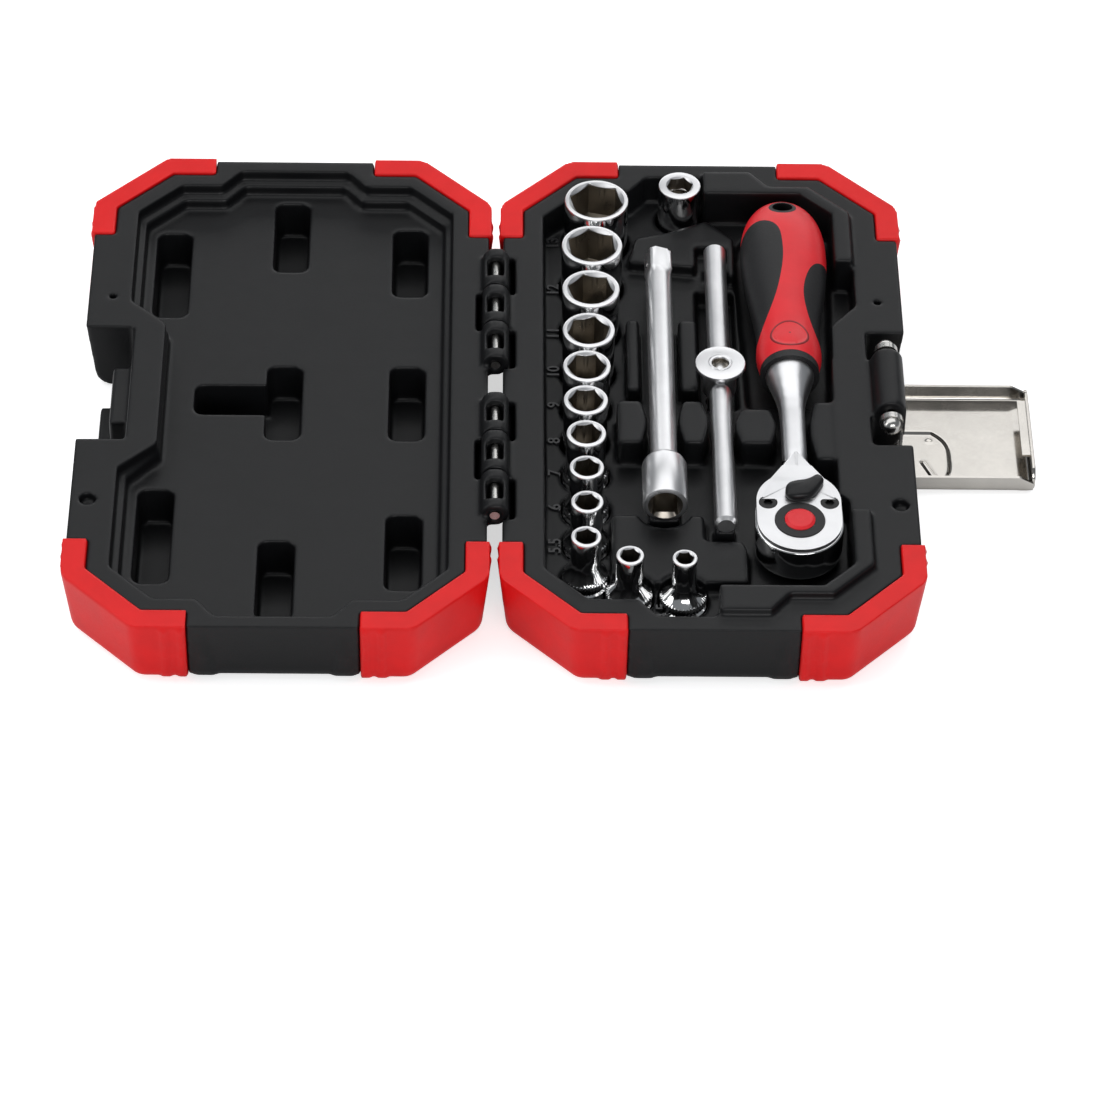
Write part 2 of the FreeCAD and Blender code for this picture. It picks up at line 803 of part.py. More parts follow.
def lip():
    """the raised lip round the latch side, which locates the lid"""
    gap = size("lipClearance")
    band = prism(hollowCorners(gap), rim - 1, rim + size("lipHeight"))
    band = band.cut(prism(trayCorners(), rim - 2, far))
    end = size("lipEnd")
    start = size("lipStart")
    sides = [box(start, far, end, far, 0, far), box(start, far, -far, -end, 0, far)]
    pieces = []
    for side in sides:
        piece = band.common(side)
        high = piece.BoundBox.ZMax
        above = [edge for edge in piece.Edges if all(abs(v.Z - high) < 1e-6 for v in edge.Vertexes)]
        pieces.append(piece.makeFillet(0.6, above))
    return pieces


def latchBoss():
    half = size("bossHalf")
    reach = size("bossReach")
    under = size("bossUnder")
    block = box(size("baseNotch") - 1, reach, -half, half, under, rim)
    slant = Part.Face(Part.makePolygon([Vector(reach + 1, -far, under - 1),
                                        Vector(reach + 1, -far, under + 7),
                                        Vector(reach - 4, -far, under - 1),
                                        Vector(reach + 1, -far, under - 1)]))
    barrel = Part.makeCylinder(size("barrelRadius"), 2 * half,
                               Vector(size("latchPinX"), -half, size("latchPinZ")), yAxis)
    hole = Part.makeCylinder(size("latchPinDiameter / 2 + pinClearance"), 2 * half,
                             Vector(size("latchPinX"), -half, size("latchPinZ")), yAxis)
    return block.cut(slant.extrude(Vector(0, 2 * far, 0))).fuse(barrel).common(
        box(0, reach, -far, far, 0, far)), hole


def baseShell():
    opening = softened(prism(trayCorners(), shelf, far), 1.6)
    recess = fused([opening.cut(baseIslands())] + basePockets())
    keepOut = [prism(grown(trayCorners(), wall), shelf - wall, far)] + basePockets(wall)
    solid = blackShell(recess, keepOut, size("baseNotch"))
    boss, hole = latchBoss()
    solid = solid.fuse(lip() + [boss]).cut(hole)
    return withHinge(solid, (1,)).removeSplitter()


# ---- lid

def kissPockets(grow=0.0):
    """pockets in the lid's floor where the two skins meet"""
    low = height - size("kissDepth") - grow
    half = size("kissWidth / 2") + grow
    side = size("kissSideX")
    near = size("kissSideNear")
    kissRound = size("kissRound")
    spans = []
    for direction in (-1, 1):
        for x, start, length in ((side, near, size("kissSideLength")),
                                 (0.4, size("kissMiddleNear"), size("kissMiddleLength")),
                                 (-side, size("kissHingeNear"), size("kissHingeLength"))):
            ends = sorted((direction * start, direction * (start + length)))
            spans.append((x, ends[0] - grow, ends[1] + grow))
    middle = size("kissMiddleLength / 2") + grow
    spans += [(0.4, -middle, middle), (-side, -middle, middle)]
    solids = [roundBox(x - half, x + half, y0, y1, low, far, kissRound) for x, y0, y1 in spans]
    stem = size("stemWidth / 2") + grow
    solids.append(roundBox(0.4, half + size("stemLength"), 1.1 - stem, 1.1 + stem, low, far, kissRound))
    return solids


def catchBlock():
    """the block that the latch pulls on, with a slot for the latch's folded lip"""
    notch = size("lidNotch")
    reach = size("catchReach")
    half = size("bossHalf")
    block = box(notch - 1, reach, -half, half, 0, height - size("catchDrop"))
    ridge = size("catchRidge")
    ledgeLow = size("catchLow")
    ledgeHigh = size("catchHigh")
    inner = size("catchRidgeHalf")
    ledge = box(reach - 1, ridge, -inner, inner, ledgeLow, ledgeHigh)
    lipX = ridge - size("catchRidgeWidth")
    slot = box(lipX - size("catchSlot"), lipX, -far, far, -1, ledgeHigh - 1.2)
    return block.fuse(ledge).cut(slot)


def lidShell():
    cavity = softened(prism(hollowCorners(), height - size("ledgeDepth"), far), 2.0)
    deeper = prism(hollowCorners(size("ledgeWidth"), size("bayLedge")), height - size("lidFloorDepth"), far)
    recess = fused([cavity, softened(deeper, 2.0)] + kissPockets())
    outline = prism(grown(hollowCorners(), wall), height - size("lidFloorDepth") - wall, far)
    solid = blackShell(recess, [outline] + kissPockets(wall), size("lidNotch"))
    solid = solid.fuse(catchBlock())
    return withHinge(solid, (0, 2)).removeSplitter()


def toLid(solid):
    """mirror a base-side shape across the hinge axis"""
    return solid.mirror(Vector(hingeX, 0, 0), xAxis)


# ---- corner guards

def guards():
    """the four corner guards of a half, by their corner"""
    proud = size("guardProud")
    core = prism(coreCorners(), -1, far)
    solid = envelope(proud)
    limit = envelope(proud + size("beadProud"))
    radius = size("beadRadius")
    out = proud + size("beadProud") - radius
    drop = far * draft
    beads = []
    for number in range(2):
        along = size("beadInset") + number * size("beadPitch")
        for sx in (-1, 1):
            for sy in (-1, 1):
                top = Vector(sx * (size("guardFrontEnd") + along), sy * (size("halfLength") + out), height)
                beads.append(Part.makeCylinder(radius, far, top - Vector(0, sy * drop, far),
                                               Vector(0, sy * drop, far)))
                top = Vector(sx * (size("halfWidth") + out), sy * (size("guardSideEnd") + along), height)
                beads.append(Part.makeCylinder(radius, far, top - Vector(sx * drop, 0, far),
                                               Vector(sx * drop, 0, far)))
    solid = solid.fuse([bead.common(limit) for bead in beads]).cut(core)
    found = {}
    for piece in solid.Solids:
        centre = piece.CenterOfMass
        end = "rear" if centre.y > 0 else "front"
        side = "latch" if centre.x > 0 else "hinge"
        found[end + "_" + side] = piece
    return found


feature("base_shell", baseShell())
feature("lid_shell", toLid(lidShell()))
for corner, solid in guards().items():
    feature("base_guard_" + corner, solid)
    feature("lid_guard_" + corner, toLid(solid))

# ---------------------------------------------------------------- hinge pins

pinLength = "3 * knuckleLength + 2 * knuckleGap"
hingeLine = "-halfWidth - hingeGap"
for name, start in (("hinge_pin_rear", "knuckleStart"),
                    ("hinge_pin_front", f"-knuckleStart - ({pinLength})")):
    keep(name, cylinder(name, "pinDiameter / 2", pinLength, hingeLine, start, "halfHeight + closedGap / 2",
                        yAxis))

# ---------------------------------------------------------------- latch


def turned(name, corners):
    """a body turned about its own Z axis from a (radius, height) profile"""
    body = newBody(name)
    profile = newSketch(body, "profile", "XZ_Plane")
    outline(profile, corners)
    revolve(body, profile)
    return body


end = "(earInner + earWidth + 1.2)"
neck = "(earInner + earWidth / 2)"
head = "earLoop - 0.1"
shaft = "latchPinDiameter / 2"
pin = turned("latch_pin", [
    ("0", f"-{end}"), (f"{head} - 0.8", f"-{end}"), (head, f"-{end} + 0.6"), (head, f"-{neck} - 1.1"),
    ("1.3", f"-{neck} - 0.8"), ("1.3", f"-{neck} + 0.8"), (head, f"-{neck} + 1.1"), (head, "-earInner - 0.2"),
    (shaft, "-earInner - 0.2"), (shaft, "earInner + 0.2"), (head, "earInner + 0.2"), (head, f"{neck} - 1.1"),
    ("1.3", f"{neck} - 0.8"), ("1.3", f"{neck} + 0.8"), (head, f"{neck} + 1.1"), (head, f"{end} - 0.6"),
    (f"{head} - 0.8", end), ("0", end)])
keep("latch_pin", place(pin, "latchPinX", "0", "latchPinZ", "-90", xAxis))
keep("latch_link_pin", cylinder("latch_link_pin", "linkPinDiameter / 2", "2 * haspHalf - 0.2",
                                "linkPinX", "-haspHalf + 0.1", "linkPinZ", yAxis))


def strap(name, yLow, width, topX, topZ):
    """the flat of the latch link, from topZ down to its curl round the link pin"""
    body = newBody(name)
    side = newSketch(body, "side", "XZ_Plane", f"-({yLow}) - ({width})")
    reach = "linkPinX + linkPinDiameter / 2 + pinClearance"
    outline(side, [(reach, "linkPinZ"), (f"{reach} + sheetThickness", "linkPinZ"), (topX, topZ),
                   (f"{topX} - sheetThickness", topZ)])
    pad(body, side, width)
    return body


loop = "earLoop + sheetThickness"
curl = "linkPinDiameter / 2 + pinClearance"
linkEnd = "(earInner + earWidth)"
solids = [cylinder("link_curl", f"{curl} + sheetThickness", f"2 * {linkEnd}", "linkPinX", f"-{linkEnd}",
                   "linkPinZ", yAxis),
          strap("link_web", "-earInner", "2 * earInner", f"linkPinX + {curl} + sheetThickness + 0.12",
                "bossUnder - 0.6")]
holes = [cylinder("link_pin_hole", curl, f"2 * {linkEnd} + 2", "linkPinX", f"-{linkEnd} - 1", "linkPinZ",
                  yAxis)]
for name, start in (("rear", "earInner"), ("front", f"-{linkEnd}")):
    solids.append(cylinder(f"ear_{name}", loop, "earWidth", "latchPinX", start, "latchPinZ", yAxis))
    solids.append(strap(f"strap_{name}", start, "earWidth", f"latchPinX + {loop}", "latchPinZ"))
    holes.append(cylinder(f"ear_hole_{name}", "earLoop", "earWidth + 2", "latchPinX", f"{start} - 1",
                          "latchPinZ", yAxis))
keep("latch_link", cut("latch_link", joined("link_solid", solids), joined("link_holes", holes)))


def flangePlate(name, start):
    """a side of the latch plate, with an ear for the link pin and a cut far corner"""
    body = newBody(name)
    side = newSketch(body, "side", "XZ_Plane", f"-({start}) - sheetThickness")
    high = "haspLift + flangeHeight"
    outline(side, [("linkPinX", "haspLift"), ("linkPinX + haspReach", "haspLift"),
                   ("linkPinX + haspReach", f"{high} - 2.2"),
                   ("linkPinX + haspReach - 4.2", high), ("linkPinX", high)])
    pad(body, side, "sheetThickness")
    return body


dishX = "linkPinX + haspStart + 1.5"
dishY = "-6.4"
dishHalf = "dishHalf - 2.4"
dishEnd = "linkPinX + haspStart + dishRadius"
solids = [block("hasp_plate", "linkPinX + haspStart", "-haspHalf", "haspLift", "haspReach - haspStart",
                "2 * haspHalf", "sheetThickness"),
          block("hasp_end", "linkPinX + haspReach - sheetThickness", "-haspHalf", "haspLift",
                "sheetThickness",
                "2 * haspHalf", "endWallHeight"),
          block("hasp_lip", "linkPinX + haspReach - lipLength", "-lipHalf",
                "haspLift + endWallHeight - sheetThickness",
                "lipLength", "2 * lipHalf", "sheetThickness")]
holes = []
for name, start in (("rear", "haspHalf - sheetThickness"), ("front", "-haspHalf")):
    solids.append(flangePlate(f"flange_{name}", start))
    solids.append(cylinder(f"hasp_ear_{name}", "haspStart", "sheetThickness", "linkPinX", start, "linkPinZ",
                           yAxis))
    holes.append(cylinder(f"hasp_hole_{name}", curl, "sheetThickness + 2", "linkPinX", f"{start} - 1",
                          "linkPinZ", yAxis))


def dish(name, inset, low, thick):
    """the pressed D shape near the link, flat ended at the link and round at the far end"""
    body = newBody(name)
    plan = newSketch(body, "plan", "XY_Plane", low)
    corners = [(f"{dishX} + {inset}", f"{dishY} - ({dishHalf}) + {inset}")]
    for step in range(-4, 5):
        angle = f"{step * 11.25} * 1deg"
        corners.append((f"{dishEnd} - 4 + (4 - {inset}) * cos(2 * {angle})",
                        f"{dishY} + (({dishHalf}) - {inset}) * sin(2 * {angle})"))
    corners.append((f"{dishX} + {inset}", f"{dishY} + ({dishHalf}) - {inset}"))
    outline(plan, corners)
    pad(body, plan, thick)
    return body


tray = cut("hasp_pierced", joined("hasp_sheet", solids),
           joined("hasp_holes", holes + [dish("dish_hollow", "0.8", "haspLift - 1", "3")]))
keep("latch_hasp", joined("latch_hasp", [tray,
                                         cut("dish_pan",
                                             dish("dish_outside", "0", "haspLift - sheetThickness",
                                                  "1.5 * sheetThickness"),
                                                   dish("dish_inside", "0.8", "haspLift", "2"))]))

# ---------------------------------------------------------------- sockets and bit adapter


def plainProfile(radius, high):
    return [("0", "0"), (f"{radius} - 0.5", "0"), (radius, "0.5"), (radius, f"{high} - 0.5"),
            (f"{radius} - 0.5", high),
            ("0", high)]


def collaredProfile(radius, high):
    """a slim hex end that flares to a knurled ring above the drive collar"""
    collar = "collarDiameter / 2"
    knurl = "knurlDiameter / 2"
    return [("0", "0"), (f"{collar} - 0.5", "0"), (collar, "0.5"), (collar, "collarHeight - 0.3"),
            (f"{knurl} - 0.4", "collarHeight"), (f"{knurl} - 0.4", "collarHeight + knurlGroove"),
            (knurl, "collarHeight + knurlGroove + 0.2"), (knurl, "collarHeight + knurlGroove + knurlHeight"),
            (radius, "collarHeight + knurlGroove + knurlHeight + flareHeight"), (radius, f"{high} - 0.5"),
            (f"{radius} - 0.5", high), ("0", high)]


def drilled(body, flats, turn, high, depth):
    """the hex mouth with its cone, the square drive below and the bore between them"""
    mouth = newSketch(body, "mouth", "XZ_Plane")
    outline(mouth, [("0", f"{high} - mouthCone"), (f"({flats}) / 2", f"{high} - mouthCone"),
                    (f"({flats}) / sqrt(3) + 0.15", high), (f"({flats}) / sqrt(3) + 0.15", f"{high} + 1"),
                    ("0", f"{high} + 1")])
    revolve(body, mouth, cutting=True)
    hexSketch = newSketch(body, "hex", "XY_Plane", high)
    hexagon(hexSketch, f"({flats}) + hexClearance", turn)
    pocket(body, hexSketch, depth)
    drive = newSketch(body, "drive")
    square(drive, "driveSquare")
    pocket(body, drive, "driveDepth", upward=True)
    bore = newSketch(body, "bore")
    circle(bore, f"min(throughBore / 2; ({flats}) * 0.4)")
    pocket(body, bore, high, upward=True)


collar = size("collarDiameter / 2")
for name, x, y, radius in socketPlaces():
    label = "socket_" + name
    rimRadius = f"rim{name} / 2"
    profile = plainProfile if size(rimRadius) > collar else collaredProfile
    body = turned(label, profile(rimRadius, "socketHeight"))
    drilled(body, f"flats{name}", f"turn{name}", "socketHeight", "hexDepth")
    keep(label, place(body, x, y, "pocketFloor"))

adapter = turned("bit_adapter", plainProfile("adapterDiameter / 2", "adapterHeight"))
drilled(adapter, "bitHex", "10", "adapterHeight", "bitDepth")
ringGroove = newSketch(adapter, "ring_groove", "XZ_Plane")
ringHeight = "(adapterHeight - bitDepth / 2)"
outline(ringGroove, [("bitHex / 2 - 0.3", f"{ringHeight} - snapRingWire - 0.1"),
                     ("snapRingRadius + snapRingWire / 2 + 0.1", f"{ringHeight} - snapRingWire - 0.1"),
                     ("snapRingRadius + snapRingWire / 2 + 0.1", f"{ringHeight} + snapRingWire + 0.1"),
                     ("bitHex / 2 - 0.3", f"{ringHeight} + snapRingWire + 0.1")])
revolve(adapter, ringGroove, cutting=True)
keep("bit_adapter", place(adapter, "adapterX", "adapterY", "pocketFloor"))
snapRing = doc.addObject("Part::Torus", "adapter_snap_ring")
bind(snapRing, "Radius1", "snapRingRadius - snapRingWire / 2")
bind(snapRing, "Radius2", "snapRingWire")
keep("adapter_snap_ring", place(snapRing, "adapterX", "adapterY", f"pocketFloor + {ringHeight}"))

# ---------------------------------------------------------------- extension bar


def maleDrive(body, low, length, upward=True):
    """the square drive, with its corners turned off, and the drilled hole for its ball"""
    plan = newSketch(body, "male", "XY_Plane", low)
    half = "maleSquare / 2"
    flat = "(maleSquare / 2 - 0.9)"
    outline(plan, [(half, f"-{flat}"), (half, flat), (flat, half), (f"-{flat}", half), (f"-({half})", flat),
                   (f"-({half})", f"-{flat}"), (f"-{flat}", f"-({half})"), (flat, f"-({half})")])
    pad(body, plan, length, reverse=not upward)
    hole = newSketch(body, "ball_hole", "YZ_Plane")
    circle(hole, "ballRadius + pinClearance", "0", f"{low} {'+' if upward else '-'} ({length}) * 0.55")
    pocket(body, hole, "maleSquare")


def detentBall(name, x, y, z):
    keep(name, ball(name, "ballRadius", f"{x} - maleSquare / 2 + ballRadius - ballProud", y, z))


barShaft = "barDiameter / 2"
barHead = "barEndDiameter / 2"
barRound = "(barLength - maleLength)"
bar = turned("extension_bar", [("0", "0"), (f"{barHead} - 0.6", "0"), (barHead, "0.6"),
                               (barHead, "barEndLength"),
                               (barShaft, "barEndLength + barConeLength"),
                               (barShaft, f"{barRound} - maleCone"),
                               ("maleSquare / 2", barRound), ("0", barRound)])
maleDrive(bar, f"{barRound} - maleCone", "maleLength + maleCone")
barSocket = newSketch(bar, "female")
square(barSocket, "driveSquare")
pocket(bar, barSocket, "driveDepth", upward=True)
keep("extension_bar", place(bar, "barX", "barFront", "halfHeight", "-90", xAxis))
ballAlong = f"{barRound} - maleCone + (maleLength + maleCone) * 0.55"
detentBall("extension_ball", "barX", f"barFront + {ballAlong}", "halfHeight")

# ---------------------------------------------------------------- sliding T-handle

rodHalf = "rodLength / 2"
rodWide = "rodDiameter / 2"
rod = turned("tbar_rod", [
    ("0", f"-{rodHalf}"), (f"{rodWide} - rodChamfer", f"-{rodHalf}"), (rodWide, f"-{rodHalf} + rodChamfer"),
    (rodWide, "-waistLength / 2"), ("waistShoulder / 2", "-waistLength / 2 + 0.4"),
                          ("waistDiameter / 2", "0"),
    ("waistShoulder / 2", "waistLength / 2 - 0.4"), (rodWide, "waistLength / 2"),
    (rodWide, f"{rodHalf} - rodChamfer"), (f"{rodWide} - rodChamfer", rodHalf), ("0", rodHalf)])
keep("tbar_rod", place(rod, "rodX", "rodMiddle", "halfHeight - rodDrop", "-90", xAxis))

discHigh = "(discTop + rodDrop)"
barrel = "sliderDiameter / 2"
slider = turned("tbar_slider", [("0", "-sliderBelow"), (barrel, "-sliderBelow"),
                                (barrel, f"{discHigh} - discThickness"),
                                ("discDiameter / 2", f"{discHigh} - discThickness"),
                                ("discDiameter / 2", f"{discHigh} - 0.4"),
                                ("discDiameter / 2 - 0.4", discHigh), ("0", discHigh)])
maleDrive(slider, "-sliderBelow", "maleLength", upward=False)
sliderHole = newSketch(slider, "rod_hole", "XZ_Plane", "sliderDiameter")
circle(sliderHole, f"{rodWide} + pinClearance")
pocket(slider, sliderHole, "2 * sliderDiameter")
sliderTop = newSketch(slider, "top_hole", "XY_Plane", discHigh)
circle(sliderTop, "sliderBore / 2")
pocket(slider, sliderTop, discHigh)
keep("tbar_slider", place(slider, "rodX", "sliderY", "halfHeight - rodDrop"))
detentBall("slider_ball", "rodX", "sliderY", "halfHeight - rodDrop - sliderBelow - maleLength * 0.55")

# ---------------------------------------------------------------- ratchet

headTop = "(headThickness / 2)"
coverLow = "(headThickness / 2 - coverThickness)"
headLow = "(-headThickness / 2)"


def stadium(body, name, radius, low, high, cutting=False):
    """the head's plan shape between two heights: two discs joined by a block"""
    length = f"({high}) - ({low})"
    for label, y in (("front", "headY"), ("back", "headY + headStretch")):
        plan = newSketch(body, f"{name}_{label}", "XY_Plane", low)
        circle(plan, radius, "0", y)
        pad(body, plan, length)
    plan = newSketch(body, name + "_middle", "XY_Plane", low)
    outline(plan, [(f"-({radius})", "headY"), (radius, "headY"), (radius, "headY + headStretch"),
                   (f"-({radius})", "headY + headStretch")])
    pad(body, plan, length)


def drill(body, name, radius, x, y, high, depth):
    hole = newSketch(body, name, "XY_Plane", high)
    circle(hole, radius, x, y)
    pocket(body, hole, depth)


wrench = newBody("ratchet_body")
stadium(wrench, "head", "headRadius", headLow, coverLow)
fork = newSketch(wrench, "fork", "XY_Plane", f"{headLow} + 1.2")
outline(fork, [("-headRadius * 0.82", "headY + headStretch + headRadius * 0.5"),
               ("headRadius * 0.82", "headY + headStretch + headRadius * 0.5"),
               ("neckWidth / 2", "neckStart + 5"),
               ("-neckWidth / 2", "neckStart + 5")])
pad(wrench, fork, f"{coverLow} - ({headLow} + 1.2)")
neckSide = newSketch(wrench, "neck", "XY_Plane", "-neckThickness / 2")
outline(neckSide, [("-neckWidth / 2", "neckStart - 4"), ("neckWidth / 2", "neckStart - 4"),
                   ("neckWidth / 2", "ferruleY"),
                   ("-neckWidth / 2", "ferruleY")])
pad(wrench, neckSide, "neckThickness")
ferrule = newSketch(wrench, "ferrule", "XY_Plane")
outline(ferrule, [("0", "ferruleY - ferruleCone - 3"), ("neckWidth / 2 - 0.3", "ferruleY - ferruleCone - 3"),
                  ("ferruleRadius", "ferruleY - 1.5"), ("ferruleRadius", "ferruleY"),
                  ("tangRadius", "ferruleY"),
                  ("tangRadius", "ferruleY + tangLength"), ("0", "ferruleY + tangLength")])
revolve(wrench, ferrule)
cavity = "gearRadius + gearClearance"
drill(wrench, "gear_room", cavity, "0", "headY", coverLow, f"{coverLow} - ({headLow}) - 1.5")
drill(wrench, "drive_hole", "maleSquare / sqrt(2) + 0.9", "0", "headY", coverLow, "headThickness")
pawlRoom = newSketch(wrench, "pawl_room", "XY_Plane", coverLow)
pawlHalf = "(pawlWidth / 2 + 1.2)"
outline(pawlRoom, [(f"-{pawlHalf}", "headY + 4"), (pawlHalf, "headY + 4"), (pawlHalf, "leverY + 2.6"),
                   (f"-{pawlHalf}", "leverY + 2.6")])
pocket(wrench, pawlRoom, f"{coverLow} - ({headLow}) - 1.5")
for side, x in (("left", "-screwX"), ("right", "screwX")):
    drill(wrench, f"screw_{side}", "screwShank / 2 + pinClearance", x, "screwY", coverLow, "screwLength - 1")
keep("ratchet_body", place(wrench, "ratchetX", "0", "halfHeight - ratchetDrop"))

cover = newBody("ratchet_cover")
stadium(cover, "plate", "headRadius - 0.3", coverLow, headTop)
point = newSketch(cover, "point", "XY_Plane", coverLow)
outline(point, [("-headRadius * 0.78", "headY + headStretch + headRadius * 0.5"),
                ("headRadius * 0.78", "headY + headStretch + headRadius * 0.5"),
                ("neckWidth / 2", "neckStart - 4"),
                ("-neckWidth / 2", "neckStart - 4")])
pad(cover, point, "coverThickness")
drill(cover, "ring_hole", "ringDiameter / 2 + gearClearance", "0", "headY", headTop, "coverThickness")
drill(cover, "lever_hole", "leverShaft + pinClearance", "0", "leverY", headTop, "coverThickness")
for side, x in (("left", "-screwX"), ("right", "screwX")):
    drill(cover, f"head_{side}", "screwDiameter / 2 + pinClearance", x, "screwY", headTop, "1.05")
    drill(cover, f"shank_{side}", "screwShank / 2 + pinClearance", x, "screwY", headTop, "coverThickness")
keep("ratchet_cover", place(cover, "ratchetX", "0", "halfHeight - ratchetDrop"))

screws = []
for side, sign in (("left", "-"), ("right", "")):
    screw = turned("screw_" + side, [("0", "-screwLength"), ("screwShank / 2", "-screwLength"),
                                     ("screwShank / 2", "-1"),
                                     ("screwDiameter / 2", "-1"), ("screwDiameter / 2", "-0.15"),
                                     ("screwDiameter / 2 - 0.15", "0"), ("0", "0")])
    star = newSketch(screw, "star", "XY_Plane", "0")
    hexagon(star, "torxSize", "0")
    pocket(screw, star, "0.9")
    screws.append(place(screw, f"ratchetX + {sign}screwX", "screwY",
                        "halfHeight - ratchetDrop + headThickness / 2"))
pair = doc.addObject("Part::Compound", "ratchet_screws")
pair.Links = screws
keep("ratchet_screws", pair)

lever = newBody("reverse_lever")
for label, radius, x in (("hub", "leverHub", "0"), ("tip", "leverTip", "leverLength")):
    plan = newSketch(lever, label, "XY_Plane", "0.1")
    circle(plan, radius, x, "0")
    pad(lever, plan, "leverHeight")
arm = newSketch(lever, "arm", "XY_Plane", "0.1")
outline(arm, [("0", "-leverHub * 0.95"), ("leverLength", "-leverTip"), ("leverLength", "leverTip"),
              ("0", "leverHub * 0.95")])
pad(lever, arm, "leverHeight")
stem = newSketch(lever, "stem", "XY_Plane", "0.1")
circle(stem, "leverShaft")
pad(lever, stem, "0.1 + headThickness - 2.5", reverse=True)
keep("reverse_lever", place(lever, "ratchetX", "leverY", f"halfHeight - ratchetDrop + {headTop}",
                            "leverAngle"))

gearLow = f"({headLow} + 1.8)"
pawl = newBody("pawl")
pawlPlan = newSketch(pawl, "plan", "XY_Plane", gearLow)
pawlFront = "(headY + gearRadius + gearClearance)"
outline(pawlPlan, [("-pawlWidth / 2", f"{pawlFront} + 0.6"), ("0", pawlFront),
                   ("pawlWidth / 2", f"{pawlFront} + 0.6"),
                   ("pawlWidth / 2 - 0.4", "leverY + 2.2"), ("-pawlWidth / 2 + 0.4", "leverY + 2.2")])
pad(pawl, pawlPlan, "gearHeight - 0.5")
drill(pawl, "lever_hole", "leverShaft + 0.2", "0", "leverY", f"{gearLow} + gearHeight", "gearHeight + 1")
keep("pawl", place(pawl, "ratchetX", "0", "halfHeight - ratchetDrop"))

ringLow = f"({headTop} + 0.25 - ringThickness)"
gear = newBody("drive_gear")
wheel = newSketch(gear, "wheel", "XY_Plane", gearLow)
circle(wheel, "gearRadius")
pad(gear, wheel, "gearHeight")
notch = newSketch(gear, "notch", "XY_Plane", f"{gearLow} + gearHeight")
outline(notch, [("gearRadius - gearTooth", "0"), ("gearRadius + 0.3", "-gearTooth * 0.8"),
                ("gearRadius + 0.3", "gearTooth * 0.8")])
tooth = pocket(gear, notch, "gearHeight")
doc.recompute()
teeth = gear.newObject("PartDesign::PolarPattern", "teeth")
teeth.Originals = [tooth]
teeth.Axis = (notch, ["N_Axis"])
bind(teeth, "Occurrences", "gearTeeth")
gear.Tip = teeth
hub = newSketch(gear, "hub", "XY_Plane", f"{gearLow} + gearHeight - 0.5")
circle(hub, "ringDiameter / 2 - 0.4")
pad(gear, hub, f"{ringLow} - ({gearLow} + gearHeight - 0.5)")
shank = newSketch(gear, "shank", "XY_Plane", gearLow)
circle(shank, "maleSquare / sqrt(2) + 0.6")
pad(gear, shank, f"{gearLow} - ({headLow}) + 0.1", reverse=True)
maleDrive(gear, f"({headLow})", "driveLength", upward=False)
drill(gear, "button_bore", "1.6", "0", "0", ringLow, "headThickness")
drill(gear, "spring_room", "2.6", "0", "0", ringLow, "2.6")
keep("drive_gear", place(gear, "ratchetX", "headY", "halfHeight - ratchetDrop"))
detentBall("drive_ball", "ratchetX", "headY",
           "halfHeight - ratchetDrop - headThickness / 2 - driveLength * 0.55")

ring = newBody("drive_ring")
band = newSketch(ring, "band", "XY_Plane", ringLow)
circle(band, "ringDiameter / 2")
circle(band, "buttonDiameter / 2 + gearClearance")
pad(ring, band, "ringThickness")
keep("drive_ring", place(ring, "ratchetX", "headY", "halfHeight - ratchetDrop"))

buttonLow = f"({ringLow} + buttonTravel + 0.1)"
button = turned("release_button", [("0", f"{ringLow} - 6"), ("1.5", f"{ringLow} - 6"), ("1.5", buttonLow),
                                   ("buttonDiameter / 2", buttonLow),
                                   ("buttonDiameter / 2", f"{headTop} + 0.4"),
                                   ("buttonDiameter / 2 - 0.7", f"{headTop} + buttonProud"),
                                   ("0", f"{headTop} + buttonProud + 0.15")])
keep("release_button", place(button, "ratchetX", "headY", "halfHeight - ratchetDrop"))
spring = turned("release_spring", [("1.7", f"{ringLow} - 2.5"), ("2.4", f"{ringLow} - 2.5"),
                                   ("2.4", f"{buttonLow} - 0.05"),
                                   ("1.7", f"{buttonLow} - 0.05")])
keep("release_spring", place(spring, "ratchetX", "headY", "halfHeight - ratchetDrop"))

# ---------------------------------------------------------------- grip


def gripSolid():
    """the grip as a loft of flattened rounds along Y"""
    front = size("gripFront")
    back = size("gripBack")
    flat = size("gripFlatness")
    stations = [(front, size("gripFrontHalf"), 1.0), (front + 9.5, size("gripWaistHalf"), 0.9),
                (front + 23.5, size("gripMiddleHalf"), flat + 0.06),
                (back - 21.0, size("gripWideHalf"), flat),
                (back - 12.0, size("gripShoulderHalf"), flat),
                (back - 5.0, size("gripShoulderHalf") * 0.75, flat),
                (back - 1.6, size("gripShoulderHalf") * 0.45, flat),
                (back, size("gripShoulderHalf") * 0.12, flat)]
    rings = []
    for y, half, ratio in stations:
        ring = Part.Wire(Part.makeCircle(half, Vector(), yAxis))
        squash = FreeCAD.Matrix()
        squash.scale(1, 1, ratio)
        ring = ring.transformGeometry(squash)
        ring.translate(Vector(size("ratchetX"), y, ratchetZ))
        rings.append(ring)
    return Part.makeLoft(rings, True, False)


